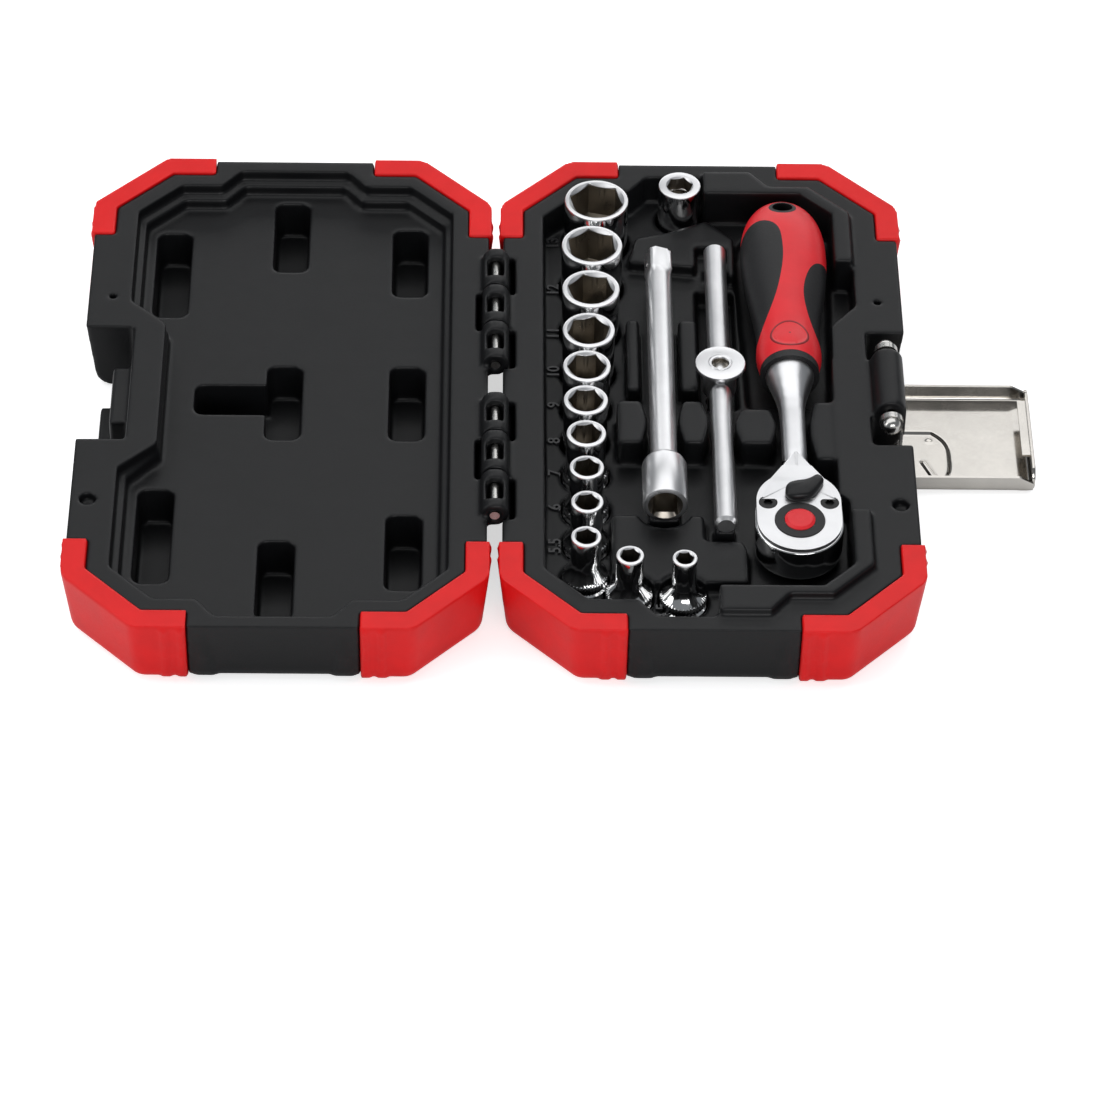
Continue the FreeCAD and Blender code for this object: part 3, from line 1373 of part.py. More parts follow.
def inlayPlan(side):
    """the plan outline of a soft inlay, from its rear tip round its inner edge to the front"""
    x = size("ratchetX")
    if side < 0:
        inner = [(-11.7, 57.5), (-6.5, 61.6), (-2.4, 58.5), (-0.8, 52.0), (-0.7, 45.5), (-1.6, 38.0),
                 (-3.3, 30.2),
                 (-5.9, 22.6), (-8.9, 15.0)]
    else:
        inner = [(12.0, 47.2), (8.6, 45.0), (5.6, 39.0), (4.4, 31.5), (5.1, 24.9), (6.6, 19.2), (9.0, 14.0)]
    curve = Part.BSplineCurve()
    curve.interpolate([Vector(x + dx, y, 0) for dx, y in inner])
    outer = [Vector(x + side * 20, inner[-1][1], 0), Vector(x + side * 20, inner[0][1], 0)]
    edges = [curve.toShape(), Part.makeLine(curve.EndPoint, outer[0]), Part.makeLine(outer[0], outer[1]),
             Part.makeLine(outer[1], curve.StartPoint)]
    face = Part.Face(Part.Wire(edges))
    return face.extrude(Vector(0, 0, far))


def roundCore():
    """the round middle of the grip, which the inlays lie on"""
    front = size("gripFront")
    back = size("gripBack")
    depth = size("inlayDepth")
    flat = size("gripFlatness")
    x = size("ratchetX")
    stations = [(front + depth, 0), (front + depth, size("gripFrontHalf") - depth),
                (front + 9.5, size("gripWaistHalf") * 0.9 - depth),
                (front + 23.5, size("gripMiddleHalf") * (flat + 0.06) - depth),
                (back - 21.0, size("gripWideHalf") * flat - depth),
                (back - 12.0, size("gripShoulderHalf") * flat - depth),
                (back - 12.0, 0)]
    corners = [Vector(x + radius, y, ratchetZ) for y, radius in stations]
    return Part.Face(Part.makePolygon(corners + corners[:1])).revolve(Vector(x, 0, ratchetZ), yAxis, 360)


grip = gripSolid()
hangHole = Part.makeCylinder(size("hangOuter"), far, Vector(size("ratchetX"), size("hangY"), -far / 2))
hangBore = Part.makeCylinder(size("hangInner"), far, Vector(size("ratchetX"), size("hangY"), -far / 2))
core = roundCore()
inlays = {}
for name, side in (("grip_inlay_left", -1), ("grip_inlay_right", 1)):
    inlays[name] = inlayPlan(side).cut([core, hangHole]).common(grip)
    feature(name, inlays[name])
tang = Part.makeCylinder(size("tangRadius + pinClearance"), size("tangLength + ferruleY") + 0.5,
                         Vector(size("ratchetX"), 0, ratchetZ), yAxis)
feature("grip_core", grip.cut(list(inlays.values()) + [hangHole, tang]))
feature("hang_bush", hangHole.cut(hangBore).common(grip))
collarRing = Part.makeCylinder(size("collarRadius"), size("collarLength") - 0.1,
                               Vector(size("ratchetX"), size("gripFront - collarLength"), ratchetZ), yAxis)
feature("grip_collar", collarRing.cut(tang).cut(
    Part.makeCylinder(size("ferruleRadius") + 0.05, far,
                      Vector(size("ratchetX"), size("ferruleY") - far, ratchetZ), yAxis)))

# ---------------------------------------------------------------- check and write

doc.recompute()
for item in doc.Objects:
    if {"Invalid", "Error"} & set(item.State):
        raise SystemExit(f"{item.Name} is {item.State}")
os.makedirs("parts", exist_ok=True)
for name, item in parts.items():
    if item.Shape.isNull() or not item.Shape.isValid() or not item.Shape.Solids:
        raise SystemExit(f"{name} has no valid solid")
    item.Shape.exportStep(f"parts/{name}.step")
print(len(parts), "sub-parts written")
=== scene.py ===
import json
import math
import bpy
import bmesh
import numpy as np
from mathutils import Matrix, Vector

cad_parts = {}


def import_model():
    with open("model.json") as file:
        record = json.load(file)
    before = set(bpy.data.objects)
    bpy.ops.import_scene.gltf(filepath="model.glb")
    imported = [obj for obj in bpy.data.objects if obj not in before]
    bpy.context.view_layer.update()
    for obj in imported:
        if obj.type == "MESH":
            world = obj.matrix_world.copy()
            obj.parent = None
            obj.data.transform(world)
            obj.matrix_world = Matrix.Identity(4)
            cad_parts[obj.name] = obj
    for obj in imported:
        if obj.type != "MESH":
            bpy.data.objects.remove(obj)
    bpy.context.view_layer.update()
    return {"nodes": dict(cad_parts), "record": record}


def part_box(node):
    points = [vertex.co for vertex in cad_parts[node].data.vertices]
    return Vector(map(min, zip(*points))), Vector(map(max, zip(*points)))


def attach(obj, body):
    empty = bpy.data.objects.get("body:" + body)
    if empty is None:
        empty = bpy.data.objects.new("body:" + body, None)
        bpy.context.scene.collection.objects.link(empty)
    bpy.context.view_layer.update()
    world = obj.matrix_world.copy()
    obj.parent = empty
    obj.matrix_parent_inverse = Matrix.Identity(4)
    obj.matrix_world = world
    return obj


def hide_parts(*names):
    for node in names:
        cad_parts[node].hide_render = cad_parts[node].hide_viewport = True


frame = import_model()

nodes = frame["nodes"]
mm = 0.001


# materials

def nodeGroup(name, inputs, outputs, build):
    # a shader node group: inputs and outputs are (name, socket type, default)
    group = bpy.data.node_groups.new(name, "ShaderNodeTree")
    for label, kind, default in inputs:
        socket = group.interface.new_socket(name=label, in_out="INPUT", socket_type=kind)
        if default is not None:
            socket.default_value = default
    for label, kind, default in outputs:
        group.interface.new_socket(name=label, in_out="OUTPUT", socket_type=kind)
    build(group.nodes, group.links, group.nodes.new("NodeGroupInput"), group.nodes.new("NodeGroupOutput"))
    return group


def noise(made, links, coords, scale, detail=3.0, rough=0.55):
    node = made.new("ShaderNodeTexNoise")
    node.inputs["Scale"].default_value = scale
    node.inputs["Detail"].default_value = detail
    node.inputs["Roughness"].default_value = rough
    links.new(coords, node.inputs["Vector"])
    return node.outputs["Fac"]


def mapped(made, links, value, fromLow, fromHigh, toLow, toHigh):
    node = made.new("ShaderNodeMapRange")
    for label, number in (("From Min", fromLow), ("From Max", fromHigh), ("To Min", toLow),
                          ("To Max", toHigh)):
        node.inputs[label].default_value = number
    links.new(value, node.inputs["Value"])
    return node.outputs["Result"]


def grainGroup(made, links, given, result):
    # fine moulded grain over broad unevenness, as one bump
    coords = made.new("ShaderNodeTexCoord").outputs["Object"]
    fine = noise(made, links, coords, 2600.0, 2.0)
    broad = noise(made, links, coords, 70.0, 2.0)
    height = made.new("ShaderNodeMath")
    height.operation = "MULTIPLY_ADD"
    height.inputs[1].default_value = 6.0
    links.new(broad, height.inputs[0])
    links.new(fine, height.inputs[2])
    bump = made.new("ShaderNodeBump")
    bump.inputs["Distance"].default_value = 0.00005
    links.new(given.outputs["Strength"], bump.inputs["Strength"])
    links.new(height.outputs["Value"], bump.inputs["Height"])
    links.new(bump.outputs["Normal"], result.inputs["Normal"])


def scuffGroup(made, links, given, result):
    # colour and roughness with soft cloudy changes, and paler rubbed edges
    coords = made.new("ShaderNodeTexCoord").outputs["Object"]
    geometry = made.new("ShaderNodeNewGeometry")
    cloud = noise(made, links, coords, 110.0, 4.0)
    speck = noise(made, links, coords, 1500.0, 2.0)
    edge = mapped(made, links, geometry.outputs["Pointiness"], 0.52, 0.60, 0.0, 1.0)
    rubbed = made.new("ShaderNodeMath")
    rubbed.operation = "MULTIPLY"
    links.new(edge, rubbed.inputs[0])
    links.new(given.outputs["Wear"], rubbed.inputs[1])
    paler = made.new("ShaderNodeMix")
    paler.data_type = "RGBA"
    links.new(rubbed.outputs["Value"], paler.inputs["Factor"])
    links.new(given.outputs["Color"], paler.inputs["A"])
    links.new(given.outputs["Worn"], paler.inputs["B"])
    shade = made.new("ShaderNodeHueSaturation")
    links.new(mapped(made, links, cloud, 0.3, 0.7, 0.94, 1.06), shade.inputs["Value"])
    links.new(paler.outputs["Result"], shade.inputs["Color"])
    links.new(shade.outputs["Color"], result.inputs["Color"])
    spread = made.new("ShaderNodeMath")
    spread.operation = "MULTIPLY_ADD"
    links.new(mapped(made, links, speck, 0.3, 0.7, -0.5, 0.5), spread.inputs[0])
    links.new(given.outputs["Spread"], spread.inputs[1])
    links.new(mapped(made, links, cloud, 0.2, 0.8, -0.02, 0.03), spread.inputs[2])
    rough = made.new("ShaderNodeMath")
    rough.operation = "ADD"
    links.new(spread.outputs["Value"], rough.inputs[0])
    links.new(given.outputs["Roughness"], rough.inputs[1])
    links.new(rough.outputs["Value"], result.inputs["Roughness"])


grain = nodeGroup("mouldedGrain", [("Strength", "NodeSocketFloat", 0.3)],
                  [("Normal", "NodeSocketVector", None)], grainGroup)
scuff = nodeGroup("softScuffs",
                  [("Color", "NodeSocketColor", (0.5, 0.5, 0.5, 1)),
                   ("Worn", "NodeSocketColor", (0.6, 0.6, 0.6, 1)),
                   ("Wear", "NodeSocketFloat", 0.3), ("Roughness", "NodeSocketFloat", 0.4),
                   ("Spread", "NodeSocketFloat", 0.1)],
                  [("Color", "NodeSocketColor", None), ("Roughness", "NodeSocketFloat", None)], scuffGroup)


def material(name, color, worn, roughness, wear=0.3, spread=0.08, bump=0.3, metallic=0.0, specular=0.5):
    made = bpy.data.materials.new(name)
    made.use_nodes = True
    tree = made.node_tree
    shader = tree.nodes["Principled BSDF"]
    shader.inputs["Metallic"].default_value = metallic
    shader.inputs["Specular IOR Level"].default_value = specular
    marks = tree.nodes.new("ShaderNodeGroup")
    marks.node_tree = scuff
    marks.inputs["Color"].default_value = (*color, 1)
    marks.inputs["Worn"].default_value = (*worn, 1)
    marks.inputs["Wear"].default_value = wear
    marks.inputs["Roughness"].default_value = roughness
    marks.inputs["Spread"].default_value = spread
    tree.links.new(marks.outputs["Color"], shader.inputs["Base Color"])
    tree.links.new(marks.outputs["Roughness"], shader.inputs["Roughness"])
    texture = tree.nodes.new("ShaderNodeGroup")
    texture.node_tree = grain
    texture.inputs["Strength"].default_value = bump
    tree.links.new(texture.outputs["Normal"], shader.inputs["Normal"])
    return made


blackPlastic = material("blackPlastic", (0.0056, 0.0058, 0.0065), (0.017, 0.017, 0.019), 0.38, wear=0.35,
                        bump=0.40, specular=0.25)
redPlastic = material("redPlastic", (0.74, 0.006, 0.007), (0.85, 0.04, 0.04), 0.34, wear=0.25, bump=0.2,
                      specular=0.25)
chromePlate = material("chromePlate", (0.80, 0.80, 0.80), (0.88, 0.88, 0.88), 0.07, wear=0.1, spread=0.02,
                       bump=0.01, metallic=1.0)
satinPlate = material("satinPlate", (0.70, 0.70, 0.71), (0.80, 0.80, 0.80), 0.33, wear=0.1, spread=0.03,
                      bump=0.02, metallic=1.0)
latchSteel = material("latchSteel", (0.55, 0.525, 0.49), (0.66, 0.635, 0.60), 0.13, wear=0.2, spread=0.04,
                      bump=0.12, metallic=1.0)
pinSteel = material("pinSteel", (0.55, 0.54, 0.52), (0.7, 0.7, 0.68), 0.22, wear=0.2, spread=0.05,
                    bump=0.03, metallic=1.0)
# a darker, warmer steel for the deep insides of holes: painted shade standing in for the shade inside them
holeShadeSteel = material("holeShadeSteel", (0.34, 0.31, 0.27), (0.44, 0.41, 0.37), 0.30, wear=0.1, spread=0.06,
                     bump=0.05, metallic=1.0)
blackSteel = material("blackSteel", (0.008, 0.008, 0.009), (0.04, 0.04, 0.04), 0.34, wear=0.3, bump=0.1,
                      metallic=0.1, specular=0.28)
# a paler black for the raised figures, which are the same black plastic: painted highlight on them
figureHighlightPlastic = material("figureHighlightPlastic", (0.026, 0.026, 0.028), (0.05, 0.05, 0.05), 0.30, wear=0.3, bump=0.1)
gripRed = material("gripRed", (0.74, 0.018, 0.026), (0.85, 0.06, 0.07), 0.36, wear=0.2, bump=0.08,
                   specular=0.35)
# a dark red for the badge's rim: painted shade standing in for the shaded groove round the badge
badgeRimShade = material("badgeRimShade", (0.24, 0.006, 0.010), (0.40, 0.03, 0.03), 0.45, wear=0.1, bump=0.05)
gripBlack = material("gripBlack", (0.009, 0.009, 0.010), (0.02, 0.02, 0.02), 0.50, wear=0.2, bump=0.4,
                     specular=0.35)
print("materials made")


# mesh helpers

def addPiece(name, points, faces, paint, body, replaced=()):
    # a mesh object from points in metres and faces
    mesh = bpy.data.meshes.new(name)
    mesh.from_pydata(np.asarray(points, float).tolist(), [], [list(map(int, face)) for face in faces])
    mesh.validate()
    piece = bpy.data.objects.new(name, mesh)
    bpy.context.scene.collection.objects.link(piece)
    return finishPiece(piece, paint, body, replaced)


def finishPiece(piece, paint, body, replaced=(), smooth=True):
    mesh = piece.data
    mesh.polygons.foreach_set("use_smooth", [smooth] * len(mesh.polygons))
    mesh.materials.clear()
    mesh.materials.append(paint)
    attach(piece, body)
    if replaced:
        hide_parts(*replaced)
    return piece


def gridFaces(rows, columns):
    # quads between neighbouring rings of points, each ring closed on itself
    row, column = np.meshgrid(np.arange(rows - 1), np.arange(columns), indexing="ij")
    after = (column + 1) % columns
    quads = np.stack([row * columns + column, row * columns + after, (row + 1) * columns + after,
                      (row + 1) * columns + column], axis=-1)
    return quads.reshape(-1, 4).tolist()


# case halves and corner guards

softening = {
    "voxel": 0.55,       # mm
    "rounds": 7,         # smoothing passes, each rounds the edges a little more
    "guardVoxel": 0.5,
    "guardRounds": 3,
    "mostFaces": 190000,
    "capDepth": 2.5,     # mm, how far a blow needle hole is seen to go in
    "weld": 1e-6,        # metres, points nearer than this are one
}
needles = [(49.7, -45.4, 2.1), (47.7, 34.8, 1.0)]     # x, y, radius in the base; the lid's are mirrored
hingeX = -56.2
needleLow = 18.1      # mm, the walls of a needle hole lie above this


def outerSkin(source, holes):
    # a copy of a shell without its inner skin, with the needle holes capped
    mesh = bmesh.new()
    mesh.from_mesh(source.data)
    bmesh.ops.remove_doubles(mesh, verts=mesh.verts, dist=softening["weld"])
    tubes = []
    for face in mesh.faces:
        centre = face.calc_center_median() / mm
        for x, y, radius in holes:
            inside = math.hypot(centre.x - x, centre.y - y) < radius + 0.05
            if inside and abs(face.normal.z) < 0.2 and centre.z > needleLow:
                tubes.append(face)
    bmesh.ops.delete(mesh, geom=tubes, context="FACES_ONLY")
    top = max(mesh.verts, key=lambda vert: (vert.co.z, vert.co.x))
    outside = {top}
    queue = [top]
    while queue:
        for edge in queue.pop().link_edges:
            for vert in edge.verts:
                if vert not in outside:
                    outside.add(vert)
                    queue.append(vert)
    bmesh.ops.delete(mesh, geom=[vert for vert in mesh.verts if vert not in outside], context="VERTS")
    rims = [edge for edge in mesh.edges if edge.is_boundary]
    sunk = bmesh.ops.extrude_edge_only(mesh, edges=rims)["geom"]
    bmesh.ops.translate(mesh, vec=(0, 0, -softening["capDepth"] * mm),
                        verts=[g for g in sunk if isinstance(g, bmesh.types.BMVert)])
    bmesh.ops.holes_fill(mesh, edges=[g for g in sunk if isinstance(g, bmesh.types.BMEdge)])
    bmesh.ops.recalc_face_normals(mesh, faces=mesh.faces)
    return mesh


def mouldedCopy(name, mesh, voxel, rounds, paint, body, replaced):
    # the mesh rebuilt from small voxels, smoothed so that its edges round, and thinned on its flats
    data = bpy.data.meshes.new(name)
    mesh.to_mesh(data)
    mesh.free()
    piece = bpy.data.objects.new(name, data)
    bpy.context.scene.collection.objects.link(piece)
    remesh = piece.modifiers.new("remesh", "REMESH")
    remesh.mode = "VOXEL"
    remesh.voxel_size = voxel * mm * 1.0
    smoothing = piece.modifiers.new("smooth", "SMOOTH")
    smoothing.factor = 0.5
    smoothing.iterations = rounds
    thin = piece.modifiers.new("thin", "DECIMATE")
    graph = bpy.context.evaluated_depsgraph_get()
    thin.ratio = 1.0
    faces = 2 * len(piece.evaluated_get(graph).data.polygons)
    thin.ratio = min(0.5, softening["mostFaces"] / max(faces, 1))
    graph = bpy.context.evaluated_depsgraph_get()
    final = bpy.data.meshes.new_from_object(piece.evaluated_get(graph))
    piece.modifiers.clear()
    piece.data = final
    print(name, len(final.polygons), "faces")
    return finishPiece(piece, paint, body, replaced)


def lidHoles():
    return [(2 * hingeX - x, y, radius) for x, y, radius in needles]


mouldedCopy("baseShell", outerSkin(nodes["base_shell"], needles), softening["voxel"], softening["rounds"],
            blackPlastic, "base", ["base_shell"])
mouldedCopy("lidShell", outerSkin(nodes["lid_shell"], lidHoles()), softening["voxel"], softening["rounds"],
            blackPlastic, "lid", ["lid_shell"])
for half in ("base", "lid"):
    for end in ("rear", "front"):
        for side in ("hinge", "latch"):
            source = nodes[f"{half}_guard_{end}_{side}"]
            copy = bmesh.new()
            copy.from_mesh(source.data)
            bmesh.ops.remove_doubles(copy, verts=copy.verts, dist=softening["weld"])
            mouldedCopy(f"{half}Guard{end.title()}{side.title()}", copy, softening["guardVoxel"],
                        softening["guardRounds"], redPlastic, half, [source.name])
print("case made")

# more mesh helpers

def addGrid(name, rows, paints, body, replaced=(), closedRows=False, rowPaint=None, sharp=35.0,
            folded=False):
    # rings of equal length joined into one skin; the ends are capped, or joined when closedRows is set;
    # folded is for a bent sheet: the first half of each ring is one side of it, the second half the other,
    # and the caps run between the two
    rows = np.asarray(rows, float)
    count, columns = rows.shape[:2]
    points = rows.reshape(-1, 3)
    if closedRows:
        faces = gridFaces(count + 1, columns)
        faces = [[index % (count * columns) for index in face] for face in faces]
    elif folded:
        faces = gridFaces(count, columns)
        last = (count - 1) * columns
        for i in range(columns // 2 - 1):
            across = [i, i + 1, columns - 2 - i, columns - 1 - i]
            faces += [across[::-1], [last + index for index in across]]
    else:
        faces = gridFaces(count, columns)
        points = np.vstack([points, rows[0].mean(axis=0), rows[-1].mean(axis=0)])
        low, high = count * columns, count * columns + 1
        last = (count - 1) * columns
        faces += [[(i + 1) % columns, i, low] for i in range(columns)]
        faces += [[last + i, last + (i + 1) % columns, high] for i in range(columns)]
    piece = addPiece(name, points * mm, faces, paints[0], body, replaced)
    fixNormals(piece)
    if len(paints) > 1:
        for paint in paints[1:]:
            piece.data.materials.append(paint)
        index = np.zeros(len(piece.data.polygons), int)
        for row, value in enumerate(rowPaint):
            index[row * columns:(row + 1) * columns] = value
        piece.data.polygons.foreach_set("material_index", index.tolist())
    piece.data.set_sharp_from_angle(angle=math.radians(sharp))
    return piece


def fixNormals(piece):
    mesh = bmesh.new()
    mesh.from_mesh(piece.data)
    bmesh.ops.recalc_face_normals(mesh, faces=mesh.faces)
    mesh.to_mesh(piece.data)
    mesh.free()


def ringAt(radius, z, angles, x=0.0, y=0.0):
    radius = np.broadcast_to(radius, angles.shape)
    return np.stack([x + radius * np.cos(angles), y + radius * np.sin(angles), np.full(angles.shape, z)],
                    axis=1)


def evenAngles(count):
    return np.arange(count) * 2 * math.pi / count


def polygonRadius(angles, sides, inner, turn):
    # distance from the centre to a regular polygon with this inner radius, one corner at turn
    step = 2 * math.pi / sides
    return inner / np.cos((angles - turn) % step - step / 2)


def alongY(rows):
    # rings made about Z, laid down so that Z becomes Y and Y becomes -Z
    rows = np.asarray(rows, float)
    return np.stack([rows[..., 0], rows[..., 2], -rows[..., 1]], axis=-1)


def moved(rows, x, y, z):
    return np.asarray(rows, float) + np.array([x, y, z])


# sockets and bit adapter

socketLook = {
    "collar": 6.0, "knurlRadius": 6.0, "knurlLow": 9.6, "knurlHigh": 12.0,
    "knurlDepth": 0.34, "knurlTeeth": 40, "flare": 4.2, "flareSteps": 9, "hexDepth": 10.5,
    "driveHalf": 3.2, "driveDepth": 9.0, "driveMouth": 4.3, "bore": 2.1, "edge": 0.45, "hexPlay": 0.05,
    "adapterRim": 5.85, "adapterHex": 6.35, "adapterTurn": 10, "adapterHexDepth": 9.0,
}
socketData = {     # name: flats, rim radius, turn of the hexagon
    "13": (13.0, 8.75, 46), "12": (12.0, 8.3, 37), "11": (11.0, 7.8, 48), "10": (10.0, 7.05, 14),
    "9": (9.0, 6.4, 2), "8": (8.0, 5.9, 0), "7": (7.0, 5.25, 8), "6": (6.0, 4.55, 20), "5_5": (5.5, 4.25, 10),
    "5": (5.0, 3.95, 25), "4_5": (4.5, 3.6, 12), "4": (4.0, 3.25, 5),
}


def socketPiece(name, node, rimRadius, flats, turn, hexDepth):
    # one skin from the bore through the square, up the outside, over the rim and down the hexagon;
    # a row is a radius, a height and a paint: 0 is bright, 1 satin, 2 a darker steel deep in the hexagon and
    # bore, painted shade
    look = socketLook
    low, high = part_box(node)
    x, y = (low.x + high.x) / 2 / mm, (low.y + high.y) / 2 / mm
    bottom, top = low.z / mm, high.z / mm
    height = top - bottom
    turn = math.radians(turn)
    corners = [turn + math.pi / 3 * k for k in range(6)]
    squares = [math.pi / 4 + math.pi / 2 * k for k in range(4)]
    angles = np.unique(np.round(np.concatenate([evenAngles(4 * look["knurlTeeth"]), corners,
                                                squares]) % (2 * math.pi), 5))
    square = polygonRadius(angles, 4, look["driveHalf"], math.pi / 4)
    hexagon = polygonRadius(angles, 6, flats / 2 + look["hexPlay"], turn)
    bore = min(look["bore"], flats * 0.4)
    edge = look["edge"]
    wave = np.abs((angles * look["knurlTeeth"] / (2 * math.pi)) % 1.0 - 0.5) * 2 * look["knurlDepth"]
    rows = [(bore, look["driveDepth"], 1), (square, look["driveDepth"], 1), (square, 0.8, 0),
            (np.maximum(square, look["driveMouth"]), 0.0, 0)]
    wide = rimRadius
    if rimRadius > look["collar"] - 0.2 or node == "bit_adapter":
        rows += [(wide - edge, 0.0, 0), (wide - 0.1, 0.15, 0), (wide, edge, 0), (wide, height - edge, 0)]
    else:
        knurl = look["knurlRadius"] - wave
        rows += [(look["collar"] - 0.5, 0.0, 0), (look["collar"], 0.5, 0),
                 (look["collar"], look["knurlLow"] - 1.1, 0),
                 (look["collar"] - 0.6, look["knurlLow"] - 0.7, 0),
                 (look["collar"] - 0.6, look["knurlLow"] - 0.2, 0),
                 (knurl, look["knurlLow"], 0), (knurl, look["knurlHigh"] - 0.3, 0)]
        for i in range(look["flareSteps"] + 1):
            share = i / look["flareSteps"]
            sweep = (1 - math.sin(share * math.pi / 2)) ** 1.2
            rows.append((rimRadius + (look["knurlRadius"] - 0.5 - rimRadius) * sweep,
                         look["knurlHigh"] + look["flare"] * share, 0))
        rows.append((wide, height - edge, 0))
    rows += [(wide - 0.13, height - 0.13, 1), (wide - edge, height, 1)]
    cone = flats / math.sqrt(3) + 0.12
    depth = cone - flats / 2
    for i in range(9):
        share = i / 8
        rows.append((np.maximum(hexagon, cone - share * depth), height - share * depth * 0.75, 1))
    rows += [(hexagon, height - hexDepth, 2), (bore, height - hexDepth - 1.0, 2)]
    skin = [ringAt(radius, bottom + z, angles, x, y) for radius, z, paint in rows]
    paint = [rows[(i + 1) % len(rows)][2] for i in range(len(rows))]
    addGrid(name, skin, [chromePlate, satinPlate, holeShadeSteel], node, [node], closedRows=True,
            rowPaint=paint, sharp=28.0)


for label, (flats, rimRadius, turn) in socketData.items():
    socketPiece("socket" + label.replace("_", "point"), "socket_" + label, rimRadius, flats, turn,
                socketLook["hexDepth"])
socketPiece("bitAdapter", "bit_adapter", socketLook["adapterRim"], socketLook["adapterHex"],
            socketLook["adapterTurn"], socketLook["adapterHexDepth"])
print("sockets made")

# extension bar and T-handle

barLook = {
    "x": -11.8, "z": 22.0, "front": -47.0, "back": 53.0, "endLength": 15.0,
    "male": 3.1, "maleCorner": 4.0, "maleLength": 7.5, "driveHalf": 3.2, "maleTurn": 0.3, "shaft": 3.5,
}


def extensionBar():
    look = barLook
    angles = evenAngles(128)
    square = polygonRadius(angles, 4, look["driveHalf"], math.pi / 4)
    length = look["back"] - look["front"]
    end, shaft = look["endLength"], look["shaft"]
    shoulder = length - look["maleLength"]
    rows = [(0.6, 9.5, 1), (square, 9.0, 1), (square, 1.0, 1), (np.maximum(square, 4.55), 0.0, 1),
            (5.3, 0.0, 0), (5.75, 0.2, 0), (5.9, 0.7, 0), (5.9, end - 0.3, 0), (5.75, end + 0.1, 0)]
    for i in range(1, 9):
        share = i / 8
        rows.append((shaft + 2.1 * (1 + math.cos(share * math.pi)) / 2, end + 0.3 + share * 2.4, 0))
    rows += [(shaft, shoulder - 3.0, 0)]
    male = np.minimum(polygonRadius(angles, 4, look["male"], math.pi / 4 + look["maleTurn"]),
                      look["maleCorner"])
    for i in range(1, 6):
        share = i / 5
        rows.append((shaft + (male - shaft) * share ** 1.5, shoulder - 3.0 + 3.0 * share, 0))
    rows += [(male, length - 0.7, 0), (np.minimum(male, 3.5), length - 0.1, 0), (2.6, length, 0)]
    skin = [ringAt(radius, z, angles) for radius, z, paint in rows]
    placed = moved(alongY(skin), look["x"], look["front"], look["z"])
    paint = [rows[min(i + 1, len(rows) - 1)][2] for i in range(len(rows))]
    # the inside of the square hole takes the darker steel, painted shade
    addGrid("extensionBar", placed, [satinPlate, holeShadeSteel], "extension_bar",
            ["extension_bar"], rowPaint=paint, sharp=30.0)


rodLook = {"x": 3.9, "z": 20.0, "front": -52.5, "back": 57.5, "radius": 3.0, "neck": 2.5, "neckRadius": 1.35}


def tRod():
    # a round rod with end chamfers, a pinched neck at its middle and a slight waist towards the front
    look = rodLook
    angles = evenAngles(64)
    stations = np.unique(np.concatenate([np.linspace(look["front"] + 0.9, look["back"] - 0.9, 90),
                                         np.linspace(-8, 6, 57)]))
    pinch = np.exp(-np.clip(np.abs(stations - look["neck"]) - 0.4, 0, None) ** 2 / 4.2)
    radii = look["radius"] - (look["radius"] - look["neckRadius"]) * pinch
    radii = radii - 0.22 * np.exp(-((stations + 22) / 9.0) ** 2)
    rows = [ringAt(1.9, look["front"], angles), ringAt(2.2, look["front"], angles)]
    rows += [ringAt(radius, y, angles) for radius, y in zip(radii, stations)]
    rows += [ringAt(2.2, look["back"], angles), ringAt(1.9, look["back"], angles)]
    placed = moved(alongY(rows), look["x"], 0, look["z"])
    addGrid("tRod", placed, [satinPlate], "tbar_rod", ["tbar_rod"], sharp=30.0)


sliderLook = {
    "x": 3.9, "y": 5.7, "male": 3.1, "maleCorner": 4.0, "bottom": 7.5, "shoulder": 15.0, "body": 4.5,
    "disc": 6.7, "discLow": 23.7, "top": 25.0, "bore": 2.15, "boreLow": 16.0,
}


def sliderPiece():
    # one skin from the bore out over the disc, down the round body and round the square end
    look = sliderLook
    angles = evenAngles(128)
    male = np.minimum(polygonRadius(angles, 4, look["male"], math.pi / 4), look["maleCorner"])
    top = look["top"]
    bore, body, disc, discLow = look["bore"], look["body"], look["disc"], look["discLow"]
    shoulder, bottom = look["shoulder"], look["bottom"]
    rows = [(bore, look["boreLow"], 1), (bore, top - 0.5, 1), (bore + 0.25, top - 0.05, 0),
            (bore + 0.8, top, 0), (bore + 0.9, top - 0.12, 0), (bore + 1.1, top, 0),
            (disc - 0.4, top, 0), (disc - 0.1, top - 0.12, 0), (disc, top - 0.4, 0),
            (disc, discLow + 0.2, 0), (disc - 0.3, discLow, 0), (body + 0.4, discLow, 0),
            (body, discLow - 0.4, 0), (body, shoulder + 0.4, 0), (body - 0.4, shoulder, 0),
            (male, shoulder - 0.3, 0), (male, bottom + 0.6, 0), (male - 0.6, bottom, 0)]
    skin = [ringAt(radius, z, angles, look["x"], look["y"]) for radius, z, paint in rows]
    # the bore takes the darker steel, painted shade
    addGrid("tSlider", skin, [satinPlate, holeShadeSteel], "tbar_slider", ["tbar_slider"],
            rowPaint=[row[2] for row in rows[1:]] + [0], sharp=30.0)


extensionBar()
tRod()
sliderPiece()
print("bars made")


def smoothLoop(corners, count):
    # a closed curve through the corners: a cubic between each two, steered by the ones before and after
    corners = np.asarray(corners, float)
    share = np.linspace(0, 1, count, endpoint=False)[:, None]
    spans = []
    for i in range(len(corners)):
        before, start, end, after = (corners[(i + k) % len(corners)] for k in (-1, 0, 1, 2))
        spans.append(0.5 * (2 * start + (end - before) * share
                            + (2 * before - 5 * start + 4 * end - after) * share ** 2
                            + (3 * start - before - 3 * end + after) * share ** 3))
    return np.vstack(spans)


